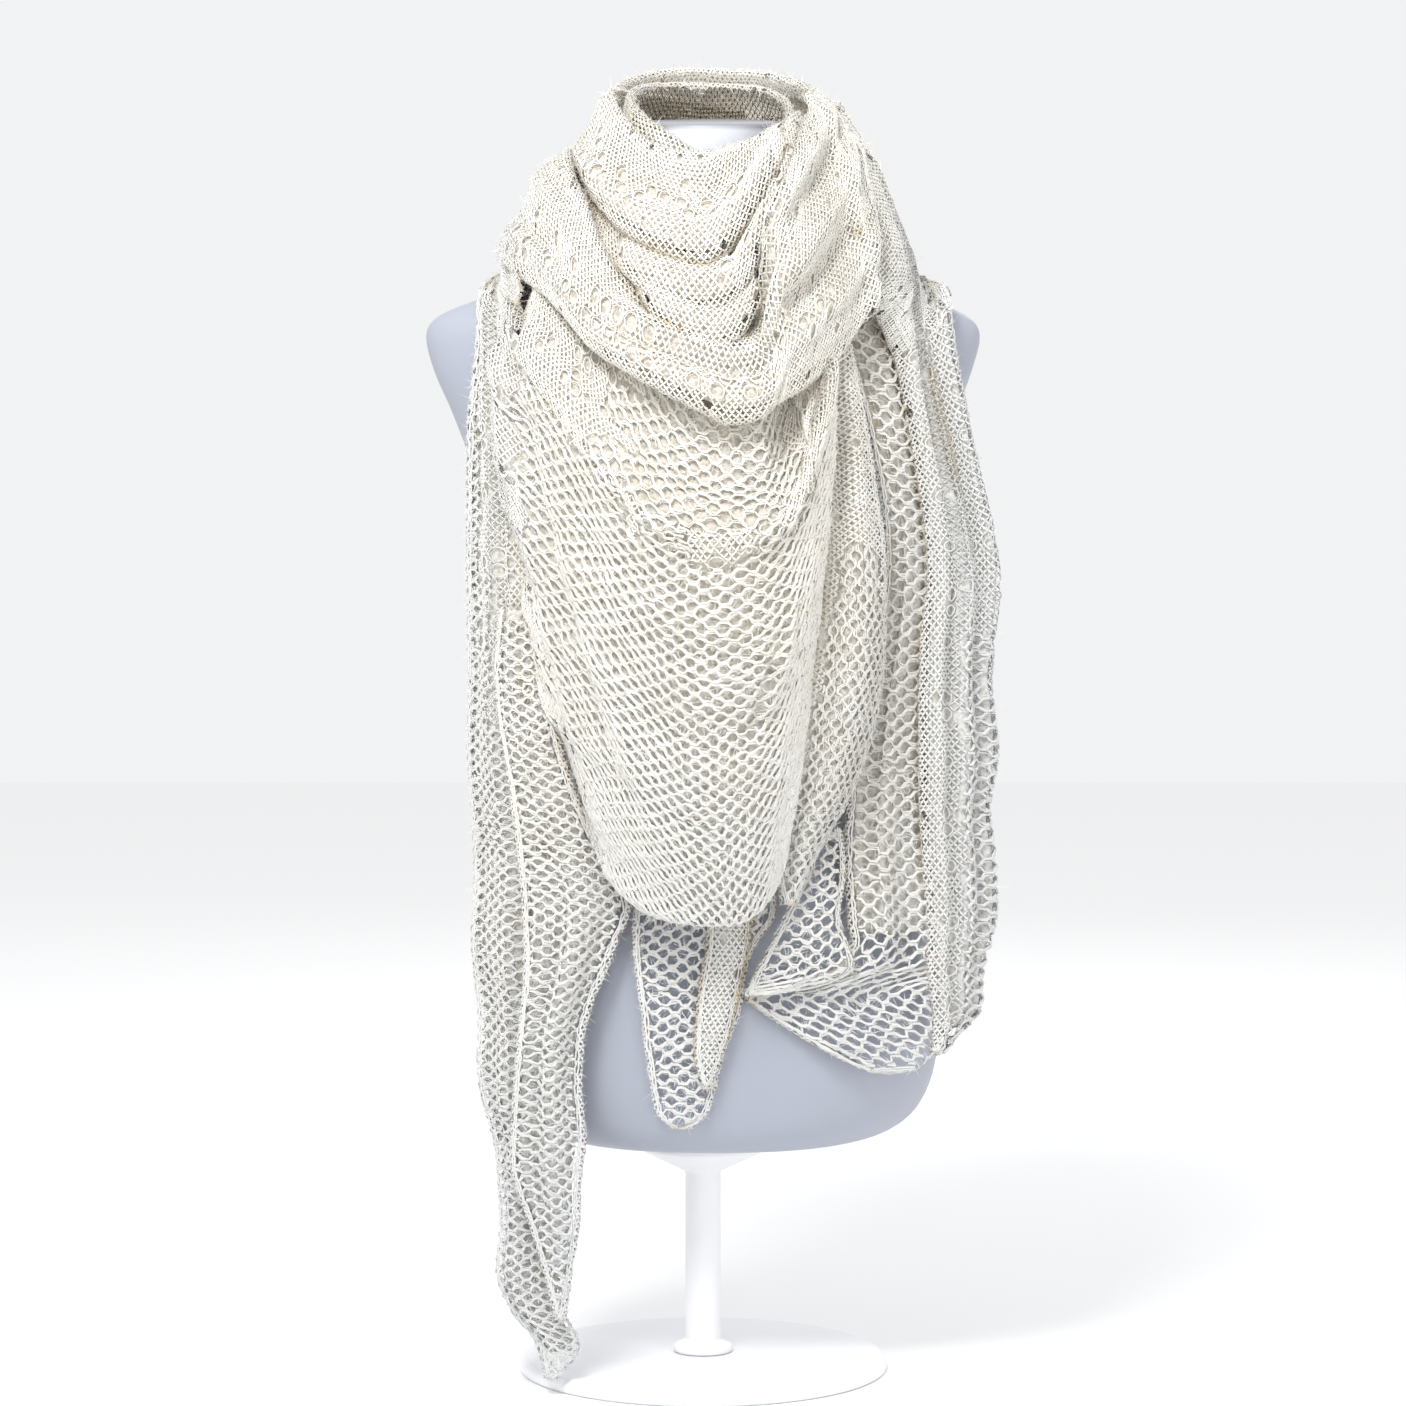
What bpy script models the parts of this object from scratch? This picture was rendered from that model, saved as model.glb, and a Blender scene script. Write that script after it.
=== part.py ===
"""A knitted lace shawl wound round the neck of a plain torso form that stands on a pole and a round base.

The shawl is one long knitted triangle. It is modelled as the stretches that show: cowls wound round
the neck, a deep pouch across the chest, and ends that fall over both shoulders. Every stretch is a thin
wall through a row of sections, and each section runs from one long edge of the stretch to the other.
Units are metres and +Z is up. The shapes are tabled in millimetres. The viewer stands on the -Y side.
"""

import math

import bmesh
import bpy
import numpy as np
from mathutils import Vector
from mathutils.bvhtree import BVHTree

MM = 0.001

# Driving sizes
WALL = 2.0 * MM
SEAM_GAP = 0.3 * MM
NECK_X = 6.0
FORM_BOTTOM = 169.0
BASE_RADIUS = 135.0
BASE_THICK = 12.0
POLE_RADIUS = 13.0
FLANGE_RADIUS = 46.0
FLANGE_THICK = 9.0
LAYER_GAP = WALL + 2.4 * MM
SEAT_GAP = 0.5 * MM
SEAT_REACH = 16.0 * MM

# Colours as red, green, blue, with roughness
WOOL = ((0.86, 0.83, 0.76), 0.9)
PLASTIC = ((0.74, 0.75, 0.82), 0.45)
STEEL = ((0.88, 0.88, 0.90), 0.35)

# Sections of the torso form, from the flat bottom up to the slanted top of the neck.
FORM_COLUMNS = ("z", "centre_x", "half_width", "front", "back", "roundness", "slant")
FORM_ROWS = (
    (169, 8, 84, 62, 66, 2.2, 0),
    (171, 8, 104, 76, 80, 2.2, 0),
    (178, 8, 128, 87, 92, 2.2, 0),
    (192, 8, 147, 94, 100, 2.2, 0),
    (215, 8, 159, 98, 105, 2.2, 0),
    (245, 8, 164, 99, 107, 2.2, 0),
    (290, 8, 163, 98, 107, 2.2, 0),
    (350, 8, 153, 91, 100, 2.2, 0),
    (410, 7, 137, 84, 86, 2.2, 0),
    (465, 6, 127, 81, 77, 2.2, 0),
    (520, 5, 132, 90, 78, 2.2, 0),
    (575, 4, 146, 106, 84, 2.2, 0),
    (620, 3, 158, 112, 88, 2.3, 0),
    (660, 2, 169, 104, 90, 2.2, 0),
    (700, 1, 183, 90, 90, 2.0, 0),
    (730, 0, 195, 78, 86, 1.9, 0),
    (756, 0, 201, 68, 80, 1.9, 0),
    (770, 0, 192, 62, 75, 1.9, 0),
    (782, 1, 165, 60, 71, 1.9, 0),
    (794, 2, 135, 58, 67, 1.9, 0),
    (812, 4, 105, 56, 63, 1.9, 0),
    (828, 6, 76, 54, 58, 2.0, 0),
    (848, 6, 58, 53, 54, 2.0, 0),
    (875, 6, 52, 51, 52, 2.0, 1),
    (911, 6, 51, 50, 51, 2.0, 6),
)
FORM_SEGMENTS = 28

# Stretches wound round the neck. A section stands at an angle about the neck's axis, 0 at the front
# and growing towards +X, from the upper rim to the low edge. "out" is the distance from that axis.
WOUND_COLUMNS = ("rim_angle", "rim_out", "rim_z", "low_angle", "low_out", "low_z", "bulge")


def ring(*rows):
    """Rows of (angle, rim_out, rim_z, low_out, low_z, bulge), whose two ends stand at one angle."""
    return tuple((a, ro, rz, a, lo, lz, b) for a, ro, rz, lo, lz, b in rows)


NAPE_INNER = ring(
    (-12, 59, 884, 65, 864, 1),
    (-30, 59, 896, 67, 862, 2),
    (-52, 60, 908, 69, 866, 2),
    (-76, 61, 921, 70, 872, 3),
    (-105, 62, 934, 70, 882, 3),
    (-140, 63, 941, 70, 890, 3),
    (-180, 63, 942, 70, 892, 3),
    (-220, 63, 938, 70, 889, 3),
    (-255, 61, 925, 69, 882, 3),
    (-285, 60, 910, 68, 874, 2),
    (-308, 59, 896, 67, 866, 2),
)

THROAT_COWL = ring(
    (-200, 76, 925, 86, 878, 3),
    (-165, 76, 932, 88, 874, 4),
    (-130, 76, 935, 89, 874, 3),
    (-98, 77, 934, 94, 880, 5),
    (-76, 74, 922, 98, 873, 6),
    (-56, 72, 905, 104, 857, 6),
    (-36, 71, 889, 110, 836, 5),
    (-16, 70, 883, 115, 815, 4),
    (-1, 70, 883, 116, 808, 4),
    (11, 71, 886, 111, 836, 4),
    (20, 72, 891, 105, 862, 3),
    (27, 73, 897, 97, 881, 2),
)

SECOND_COWL = ring(
    (-35, 84, 846, 112, 808, 3),
    (-25, 83, 850, 117, 795, 4),
    (-12, 83, 848, 122, 780, 5),
    (0, 84, 847, 125, 774, 5),
    (9, 85, 850, 123, 788, 5),
    (16, 87, 857, 119, 820, 4),
    (22, 90, 863, 112, 844, 3),
    (28, 89, 877, 108, 862, 3),
    (36, 84, 897, 101, 880, 2),
    (46, 79, 909, 92, 890, 2),
    (58, 77, 914, 86, 894, 1),
)

THIRD_COWL = ring(
    (-27, 97, 815, 116, 797, 1),
    (-19, 97, 815, 130, 774, 3),
    (-8, 98, 812, 137, 755, 4),
    (2, 99, 812, 139, 748, 4),
    (10, 101, 812, 135, 764, 3),
    (15, 104, 806, 126, 788, 1),
)

COLLAR_FOLD = ring(
    (-150, 100, 900, 125, 838, 4),
    (-120, 104, 897, 140, 828, 5),
    (-95, 107, 893, 151, 820, 6),
    (-77, 110, 884, 152, 812, 6),
    (-63, 113, 866, 150, 800, 6),
    (-51, 117, 846, 148, 784, 6),
    (-42, 121, 822, 150, 768, 6),
    (-34, 121, 798, 152, 750, 6),
    (-26, 118, 785, 154, 738, 7),
    (-16, 112, 773, 157, 724, 8),
    (-5, 107, 768, 159, 709, 9),
    (5, 106, 767, 159, 697, 9),
    (13, 110, 767, 158, 702, 9),
    (16, 118, 780, 157, 708, 9),
    (19, 127, 842, 156, 713, 7),
    (25, 123, 858, 155, 721, 6),
    (31, 117, 882, 153, 731, 6),
    (40, 107, 904, 149, 750, 6),
    (50, 97, 915, 137, 788, 5),
    (60, 91, 918, 112, 868, 3),
)

CHEST_FOLD = ring(
    (-62, 119, 836, 151, 768, 3),
    (-54, 123, 820, 157, 743, 4),
    (-45, 125, 802, 158, 718, 5),
    (-36, 126, 783, 158, 692, 5),
    (-27, 124, 768, 159, 660, 6),
    (-16, 124, 755, 160, 626, 6),
    (-4, 127, 738, 161, 607, 6),
    (8, 129, 725, 162, 608, 6),
    (15, 131, 730, 162, 615, 2),
    (20, 133, 738, 158, 637, -9),
    (25, 136, 747, 157, 680, -6),
    (31, 134, 757, 153, 716, 2),
)

FRONT_POUCH = (
    (-66, 160, 776, -36, 140, 392, 4),
    (-57, 163, 751, -32, 143, 379, 6),
    (-47, 165, 726, -27, 146, 367, 8),
    (-37, 167, 702, -21, 149, 357, 10),
    (-27, 168, 669, -14, 151, 350, 12),
    (-16, 169, 636, -6, 152, 346, 13),
    (-4, 170, 617, 2, 153, 345, 13),
    (8, 171, 618, 8, 153, 347, 12),
    (15, 171, 625, 12, 151, 352, 11),
    (21, 169, 647, 16, 148, 360, 10),
    (27, 166, 690, 19, 144, 372, 8),
    (33, 162, 727, 21, 140, 386, 5),
)

LEFT_FALL = (
    (-68, 127, 850, -150, 116, 856, 4),
    (-69, 140, 832, -150, 126, 840, 5),
    (-68, 148, 808, -142, 138, 818, 6),
    (-66, 153, 788, -124, 147, 806, 5),
    (-65, 155, 773, -98, 156, 800, 4),
    (-65, 156, 760, -82, 169, 786, 4),
    (-64, 156, 738, -74, 176, 747, 3),
    (-60, 155, 700, -71, 183, 702, 4),
    (-58, 152, 650, -71, 184, 650, 5),
    (-57, 150, 600, -72, 184, 600, 6),
    (-54, 149, 546, -72, 184, 546, 6),
    (-50.8, 155, 500, -72.6, 184, 500, 6),
    (-49.8, 152, 455, -71.8, 185, 455, 6),
    (-48.3, 147, 382, -69.8, 182, 382, 6),
    (-47.2, 144, 323, -68.7, 185, 323, 6),
    (-46.4, 142, 272, -67, 181, 272, 6),
    (-45.9, 141, 236, -66.1, 183, 236, 6),
    (-45.9, 141, 210, -65.1, 181, 210, 6),
    (-46.1, 141, 192, -63.9, 177, 192, 6),
    (-46.4, 142, 174, -62.5, 174, 174, 6),
    (-47, 144, 141, -61.7, 173, 141, 6),
    (-47.5, 145, 119, -60.9, 173, 119, 6),
    (-47.8, 146, 90, -60.7, 176, 90, 6),
    (-47.8, 146, 72, -59.4, 173, 72, 5),
    (-47, 144, 55, -57.1, 166, 55, 4),
    (-44.7, 138, 40, -53.6, 157, 40, 3),
    (-45.6, 140, 26, -51.9, 154, 26, 2),
    (-49.1, 150, 13, -50.3, 152, 13, 0),
)

RIGHT_OUTER_FALL = (
    (52, 101, 911, 152, 99, 904, 3),
    (51, 124, 872, 150, 112, 874, 5),
    (50, 135, 838, 147, 121, 846, 7),
    (50, 143, 808, 139, 135, 818, 8),
    (52, 148, 782, 122, 147, 806, 5),
    (55, 150, 766, 100, 158, 799, 4),
    (58, 152, 750, 82, 172, 787, 4),
    (61, 154, 732, 74, 181, 752, 4),
    (63, 158, 692, 74, 190, 705, 5),
    (64, 165, 652, 75, 197, 660, 7),
    (65, 170, 615, 76, 205, 620, 9),
    (65, 172, 580, 77, 209, 580, 11),
    (63, 172, 545, 77, 205, 545, 11),
    (62, 172, 505, 77, 203, 505, 11),
    (62, 172, 457, 77, 209, 457, 12),
    (62, 173, 418, 77, 201, 418, 11),
    (63, 174, 378, 77, 207, 378, 12),
    (64, 175, 336, 77, 209, 336, 11),
    (64, 176, 300, 76, 199, 300, 10),
    (65, 177, 272, 76, 200, 272, 8),
    (65, 177, 253, 75, 186, 255, 5),
    (66, 177, 240, 71, 180, 242, 2),
)

NAPE_OUTER = ring(
    (-122, 87, 938, 95, 910, 2),
    (-140, 88, 949, 98, 906, 3),
    (-162, 88, 955, 99, 904, 4),
    (-185, 88, 955, 99, 904, 4),
    (-210, 87, 952, 98, 904, 4),
    (-235, 84, 943, 93, 905, 3),
    (-258, 82, 933, 90, 906, 2),
    (-280, 81, 924, 88, 906, 2),
)

BACK_UPPER = ring(
    (-112, 128, 850, 139, 822, 3),
    (-128, 110, 880, 138, 806, 5),
    (-148, 106, 890, 134, 788, 7),
    (-170, 106, 892, 132, 772, 8),
    (-195, 106, 890, 132, 770, 8),
    (-215, 108, 886, 136, 784, 7),
    (-232, 112, 874, 142, 800, 5),
    (-246, 130, 846, 146, 818, 3),
)

BACK_LOWER = ring(
    (-118, 112, 812, 124, 788, 2),
    (-132, 100, 820, 113, 762, 4),
    (-150, 94, 826, 102, 724, 6),
    (-170, 91, 830, 98, 690, 8),
    (-188, 91, 830, 97, 676, 8),
    (-205, 94, 826, 101, 700, 7),
    (-224, 100, 820, 112, 748, 5),
    (-240, 114, 812, 126, 786, 3),
)

# Stretches that hang free. A section runs from the left edge to the right edge at about one height.
HANGING_COLUMNS = ("left_x", "left_y", "left_z", "right_x", "right_y", "right_z", "bulge")


def level(*rows):
    """Rows of (z, left_x, left_y, right_x, right_y, bulge), whose two ends stand at one height."""
    return tuple((lx, ly, z, rx, ry, z, b) for z, lx, ly, rx, ry, b in rows)


POUCH_BORDER = level(
    (760, 88, -100, 101, -92, 2),
    (720, 82, -110, 110, -98, 3),
    (680, 80, -118, 117, -104, 5),
    (637, 80, -122, 123, -106, 8),
    (593, 78, -124, 128, -106, 10),
    (550, 71, -127, 129, -106, 11),
    (506, 62, -130, 126, -107, 12),
    (462, 53, -132, 116, -110, 12),
    (425, 49, -132, 101, -116, 10),
    (396, 49, -130, 84, -121, 7),
    (372, 53, -128, 72, -124, 3),
    (354, 57, -128, 64, -126, 1),
)

LEFT_TAIL = level(
    (560, -139, -80, -116, -92, 2),
    (525, -141, -80, -112, -97, 3),
    (491, -139, -84, -107, -102, 4),
    (448, -134, -92, -97, -106, 4),
    (404, -131, -99, -80, -106, 5),
    (367, -128, -105, -60, -106, 6),
    (352, -127, -107, -54, -106, 6),
    (338, -126, -109, -57, -106, 6),
    (323, -125, -110, -64, -107, 6),
    (301, -125, -112, -72, -108, 6),
    (272, -128, -112, -84, -109, 6),
    (229, -132, -112, -88, -110, 6),
    (199, -134, -111, -86, -110, 6),
    (181, -135, -111, -85, -110, 6),
    (160, -134, -110, -88, -110, 5),
    (126, -122, -110, -89, -110, 4),
    (97, -114, -110, -93, -110, 3),
    (72, -107, -110, -97, -110, 1),
    (57, -103, -110, -100, -110, 0),
)

CENTRE_TAIL = level(
    (402, -38, -91, 38, -91, 3),
    (370, -46, -97, 46, -97, 4),
    (345, -48, -101, 50, -101, 4),
    (320, -48, -103, 34, -104, 4),
    (298, -46, -104, 28, -105, 4),
    (272, -42, -104, 24, -105, 4),
    (256, -41, -104, 17, -105, 4),
    (239, -38, -104, 12, -105, 3),
    (218, -35, -104, 7, -105, 3),
    (203, -32, -104, 2, -105, 2),
    (197, -27, -104, -5, -105, 1),
    (193, -20, -104, -12, -105, 0),
)

CENTRE_TAIL_FOLD = level(
    (372, 8, -107, 38, -106, 3),
    (345, 5, -111, 34, -110, 4),
    (320, 3, -112, 31, -111, 4),
    (298, -1, -112, 26, -112, 4),
    (272, -4, -112, 21, -112, 4),
    (250, -5, -112, 14, -112, 3),
    (234, -3, -112, 9, -112, 2),
    (222, 1, -112, 5, -112, 1),
)

RIGHT_INNER_FALL = level(
    (805, 80, -80, 116, -70, 2),
    (765, 93, -78, 128, -66, 4),
    (725, 108, -80, 142, -64, 5),
    (680, 119, -82, 152, -62, 6),
    (637, 127, -83, 159, -60, 7),
    (593, 130, -84, 163, -58, 8),
    (550, 125, -86, 165, -58, 8),
    (506, 115, -89, 165, -60, 8),
    (462, 108, -91, 165, -62, 8),
    (418, 104, -93, 166, -63, 8),
    (382, 102, -94, 167, -64, 8),
    (345, 105, -96, 169, -66, 7),
    (312, 104, -98, 170, -68, 6),
    (298, 66, -104, 170, -69, 8),
    (288, 32, -104, 170, -70, 12),
    (278, 40, -105, 169, -71, 12),
    (264, 62, -104, 168, -72, 10),
    (250, 84, -102, 166, -74, 7),
    (239, 103, -98, 162, -77, 4),
    (231, 122, -93, 152, -81, 2),
)

RIGHT_FLAP = level(
    (406, 84, -106, 97, -101, 1),
    (382, 76, -110, 100, -104, 3),
    (360, 66, -113, 98, -106, 4),
    (342, 57, -115, 96, -108, 5),
    (328, 50, -116, 100, -109, 6),
    (314, 43, -117, 105, -109, 6),
    (304, 38, -117, 103, -110, 6),
    (296, 34, -117, 84, -114, 4),
    (290, 31, -117, 58, -117, 2),
)

# Long soft ridges of a stretch: where across it (0 to 1), how high, how wide, where along it from and to.
RIDGE_COLUMNS = ("across", "height", "spread", "begin", "end")
RIDGES = {
    "nape_outer": ((0.55, 3, 0.16, 0.0, 1.0),),
    "throat_cowl": ((0.75, 3, 0.14, 0.1, 0.9),),
    "collar_fold": ((0.35, 5, 0.12, 0.45, 1.0), (0.72, 5, 0.13, 0.0, 1.0), (0.52, -4, 0.09, 0.5, 1.0)),
    "chest_fold": ((0.25, 4, 0.12, 0.0, 1.0),),
    "front_pouch": ((0.07, 5, 0.06, 0.0, 1.0), (0.34, 4, 0.10, 0.3, 1.0), (0.50, -3, 0.06, 0.4, 1.0)),
    "left_fall": ((0.30, 5, 0.12, 0.1, 0.7), (0.62, -4, 0.10, 0.1, 0.7), (0.72, 4, 0.12, 0.5, 1.0)),
    "right_outer_fall": ((0.22, 5, 0.12, 0.0, 0.6), (0.42, -6, 0.09, 0.0, 0.6), (0.70, 5, 0.15, 0.0, 1.0)),
    "right_inner_fall": ((0.30, 5, 0.12, 0.1, 1.0), (0.62, -6, 0.14, 0.3, 1.0)),
    "left_tail": ((0.45, 5, 0.15, 0.2, 0.9), (0.75, -4, 0.10, 0.2, 0.8)),
    "back_upper": ((0.30, 5, 0.10, 0.0, 1.0), (0.62, 5, 0.10, 0.0, 1.0)),
    "back_lower": ((0.45, 5, 0.12, 0.0, 1.0),),
}

# Each stretch, inner ones first, as each is laid outside those before it: its rows, whether they are
# wound, how its sections bow, its cells along and across, and how deep under another it may start.
STRETCH_COLUMNS = ("name", "rows", "wound", "bow", "along", "across", "reach")
STRETCHES = (
    ("nape_inner", NAPE_INNER, True, 1.0, 26, 4, 40),
    ("back_lower", BACK_LOWER, True, 1.0, 20, 6, 40),
    ("centre_tail", CENTRE_TAIL, False, 1.0, 16, 5, 40),
    ("right_inner_fall", RIGHT_INNER_FALL, False, 1.0, 36, 6, 40),
    ("left_fall", LEFT_FALL, True, 1.0, 58, 6, 40),
    ("nape_outer", NAPE_OUTER, True, 1.0, 20, 5, 40),
    ("right_outer_fall", RIGHT_OUTER_FALL, True, 1.0, 44, 8, 40),
    ("centre_tail_fold", CENTRE_TAIL_FOLD, False, 1.0, 12, 3, 40),
    ("right_flap", RIGHT_FLAP, False, 1.0, 12, 4, 40),
    ("left_tail", LEFT_TAIL, False, 1.0, 34, 4, 40),
    ("pouch_border", POUCH_BORDER, False, 1.0, 22, 4, 40),
    ("front_pouch", FRONT_POUCH, True, 1.6, 20, 20, 40),
    ("back_upper", BACK_UPPER, True, 1.0, 22, 7, 40),
    ("chest_fold", CHEST_FOLD, True, 1.0, 22, 8, 40),
    ("collar_fold", COLLAR_FOLD, True, 1.0, 38, 8, 40),
    ("third_cowl", THIRD_COWL, True, 1.0, 10, 5, 6),
    ("second_cowl", SECOND_COWL, True, 1.0, 20, 6, 6),
    ("throat_cowl", THROAT_COWL, True, 1.0, 30, 7, 6),
)

# Clusters of round eyelets. Each row opens every "every"-th narrow cell of one narrow line of cells.
EYELET_COLUMNS = ("stretch", "line_across", "first", "last", "every")
EYELETS = (
    ("collar_fold", 3, 7, 17, 2),
    ("collar_fold", 5, 5, 31, 2),
    ("chest_fold", 3, 5, 19, 2),
    ("chest_fold", 5, 3, 19, 2),
    ("front_pouch", 1, 5, 17, 2),
    ("front_pouch", 5, 3, 15, 2),
    ("front_pouch", 9, 3, 17, 2),
    ("front_pouch", 13, 3, 17, 2),
    ("front_pouch", 17, 5, 15, 2),
    ("left_fall", 1, 15, 41, 2),
    ("left_fall", 3, 15, 55, 2),
    ("right_outer_fall", 1, 11, 41, 2),
    ("right_outer_fall", 3, 13, 41, 4),
    ("right_outer_fall", 5, 9, 41, 4),
    ("second_cowl", 3, 5, 15, 2),
    ("throat_cowl", 3, 13, 23, 2),
    ("right_inner_fall", 1, 5, 31, 2),
    ("right_inner_fall", 3, 9, 31, 2),
    ("left_tail", 1, 5, 29, 2),
    ("back_upper", 3, 3, 19, 2),
    ("back_lower", 3, 3, 17, 2),
)


def along_rows(rows, u):
    """Every column of the rows at u from 0 to 1, on one smooth curve through all the rows."""
    table = np.array(rows, float)
    last = len(table) - 1
    place = np.clip(u, 0, 1) * last
    i = np.minimum(place.astype(int), last - 1)
    t = (place - i)[:, None]
    before, here = table[np.maximum(i - 1, 0)], table[i]
    after, beyond = table[i + 1], table[np.minimum(i + 2, last)]
    cubic = -before + 3 * here - 3 * after + beyond
    square = 2 * before - 5 * here + 4 * after - beyond
    return here + 0.5 * (t * (after - before) + t * t * square + t**3 * cubic)


def section_points(rows, wound, bow, u, v):
    """Points in millimetres on a stretch, for u along it and v across it."""
    a_x, a_y, a_z, b_x, b_y, b_z, bulge = along_rows(rows, u).T
    swell = bulge * np.sin(np.pi * v)
    z = a_z + (b_z - a_z) * v
    if wound:
        angle = np.radians(a_x + (b_x - a_x) * np.clip(v, 0, 1) ** bow)
        out = a_y + (b_y - a_y) * v + swell
        return np.stack([NECK_X + out * np.sin(angle), -out * np.cos(angle), z], axis=1)
    x = a_x + (b_x - a_x) * v
    y = a_y + (b_y - a_y) * v
    out_x, out_y = -(b_y - a_y), b_x - a_x
    size = np.maximum(np.hypot(out_x, out_y), 1e-6)
    return np.stack([x - swell * out_x / size, y - swell * out_y / size, z], axis=1)


def ridge_height(name, u, v):
    """How far the ridges lift a stretch at u and v."""
    lift = np.zeros_like(u)
    for across, height, spread, begin, end in RIDGES.get(name, ()):
        middle, half = (begin + end) / 2, (end - begin) / 2
        fade = np.clip(1 - np.abs(u - middle) / half, 0, 1)
        lift += height * np.sin(fade * np.pi / 2) * np.exp(-(((v - across) / spread) ** 2))
    return lift


def stretch_points(name, rows, wound, bow, u, v):
    """Points in metres on a stretch, with its ridges raised along its outward normal."""
    step = 0.004
    here = section_points(rows, wound, bow, u, v)
    du = section_points(rows, wound, bow, u + step, v) - section_points(rows, wound, bow, u - step, v)
    dv = section_points(rows, wound, bow, u, v + step) - section_points(rows, wound, bow, u, v - step)
    normal = np.cross(du, dv)
    size = np.maximum(np.linalg.norm(normal, axis=1), 1e-9)
    outward = np.sum(normal * (here - (NECK_X, 0, 0)) * (1, 1, 0), axis=1)
    normal = normal / size[:, None] * np.where(outward < 0, -1, 1)[:, None]
    return (here + normal * ridge_height(name, u, v)[:, None]) * MM


def spaced(count, narrow):
    """Places of the lines of a grid from 0 to 1, whose odd cells are narrower where it has eyelets."""
    widths = np.where(np.arange(count) % 2 == 1, narrow, 1.0)
    return np.concatenate([[0], np.cumsum(widths)]) / widths.sum()


def outward_of(grid, wound):
    """Level directions that point away from the body, one for every point of a stretch's grid."""
    if wound:
        away = grid - (NECK_X * MM, 0, 0)
    else:
        run = grid[:, -1] - grid[:, 0]
        away = np.stack([run[:, 1], -run[:, 0], run[:, 2] * 0], axis=1)[:, None] + grid * 0
    away = away * (1, 1, 0)
    return away / np.maximum(np.linalg.norm(away, axis=2), 1e-9)[:, :, None]


def laid_outside(grid, wound, inner, reach):
    """The grid moved outwards wherever it would touch what lies inside it, with the step smoothed."""
    away = outward_of(grid, wound)
    along, across = grid.shape[0] - 1, grid.shape[1] - 1
    fine = 5
    need = np.zeros(grid.shape[:2])
    for i in range(along * fine + 1):
        a, s = min(i // fine, along - 1), i / fine - min(i // fine, along - 1)
        for j in range(across * fine + 1):
            b, t = min(j // fine, across - 1), j / fine - min(j // fine, across - 1)
            weights = ((a, b, (1 - s) * (1 - t)), (a + 1, b, s * (1 - t)), (a, b + 1, (1 - s) * t), (a + 1, b + 1, s * t))
            point = sum(grid[k, m] * w for k, m, w in weights)
            push = sum(away[k, m] * w for k, m, w in weights)
            start = Vector(point + push * reach)
            hit = inner.ray_cast(start, Vector(-push), reach + LAYER_GAP)
            if hit[0] is None:
                continue
            lift = reach + LAYER_GAP - hit[3]
            for k, m, w in weights:
                if w > 0:
                    need[k, m] = max(need[k, m], lift)
    padded = np.pad(need, 1, mode="edge")
    rows, cols = need.shape
    near = sum(padded[k : k + rows, m : m + cols] for k in range(3) for m in range(3)) / 9
    return grid + away * np.maximum(need, near)[:, :, None]


def clear_scene():
    for obj in list(bpy.data.objects):
        bpy.data.objects.remove(obj)


def material(name, look):
    colour, roughness = look
    made = bpy.data.materials.new(name)
    made.use_nodes = True
    surface = made.node_tree.nodes["Principled BSDF"]
    surface.inputs["Base Color"].default_value = (*colour, 1)
    surface.inputs["Roughness"].default_value = roughness
    surface.inputs["Metallic"].default_value = 0
    return made


def add_object(name, bm, look, parts):
    """Makes a smooth object from a bmesh and puts it in the parts collection."""
    mesh = bpy.data.meshes.new(name)
    bm.to_mesh(mesh)
    bm.free()
    mesh.shade_smooth()
    mesh.materials.append(material(name, look))
    obj = bpy.data.objects.new(name, mesh)
    parts.objects.link(obj)
    return obj


def seated(grid, wound, inner):
    """The grid with the nearest point of each third along it pressed onto what lies inside it. A short stretch has one."""
    away = outward_of(grid, wound)
    normal = np.cross(np.gradient(grid, axis=0), np.gradient(grid, axis=1))
    normal /= np.maximum(np.linalg.norm(normal, axis=2), 1e-9)[:, :, None]
    normal *= np.where(np.sum(normal * away, axis=2) < 0, -1, 1)[:, :, None]
    under = grid - normal * WALL
    gaps = np.full(grid.shape[:2], np.inf)
    towards = np.zeros_like(grid)
    for k, m in np.ndindex(*gaps.shape):
        place, _, _, distance = inner.find_nearest(Vector(under[k, m]), SEAT_REACH)
        if distance is not None and distance > SEAT_GAP:
            way = (np.array(place) - under[k, m]) / distance
            if way.dot(away[k, m]) < -0.7:
                gaps[k, m], towards[k, m] = distance, way
    grid = grid.copy()
    for third in np.array_split(np.arange(len(grid)), 3 if len(grid) > 12 else 1):
        k, m = np.unravel_index(np.argmin(gaps[third]), gaps[third].shape)
        k = third[k]
        if np.isfinite(gaps[k, m]):
            grid[k, m] += towards[k, m] * (gaps[k, m] - SEAT_GAP)
    return grid


def faces_of(rows, cols):
    """The four-sided faces of a grid of points, as indices into its flat list."""
    return [
        (i * cols + j, (i + 1) * cols + j, (i + 1) * cols + j + 1, i * cols + j + 1)
        for i in range(rows - 1)
        for j in range(cols - 1)
    ]


def stretch_grid(name, rows, wound, bow, along, across):
    """Points of a stretch before it is laid on what is inside it."""
    narrow = 0.62 if any(row[0] == name for row in EYELETS) else 1.0
    u, v = np.meshgrid(spaced(along, narrow), spaced(across, narrow), indexing="ij")
    points = stretch_points(name, rows, wound, bow, u.ravel(), v.ravel())
    return points.reshape(along + 1, across + 1, 3)


def eyelet_cells(name):
    """The cells of a stretch's grid that are open, as (along, across)."""
    return {
        (along, line)
        for stretch, line, first, last, every in EYELETS
        if stretch == name
        for along in range(first, last + 1, every)
    }


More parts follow.
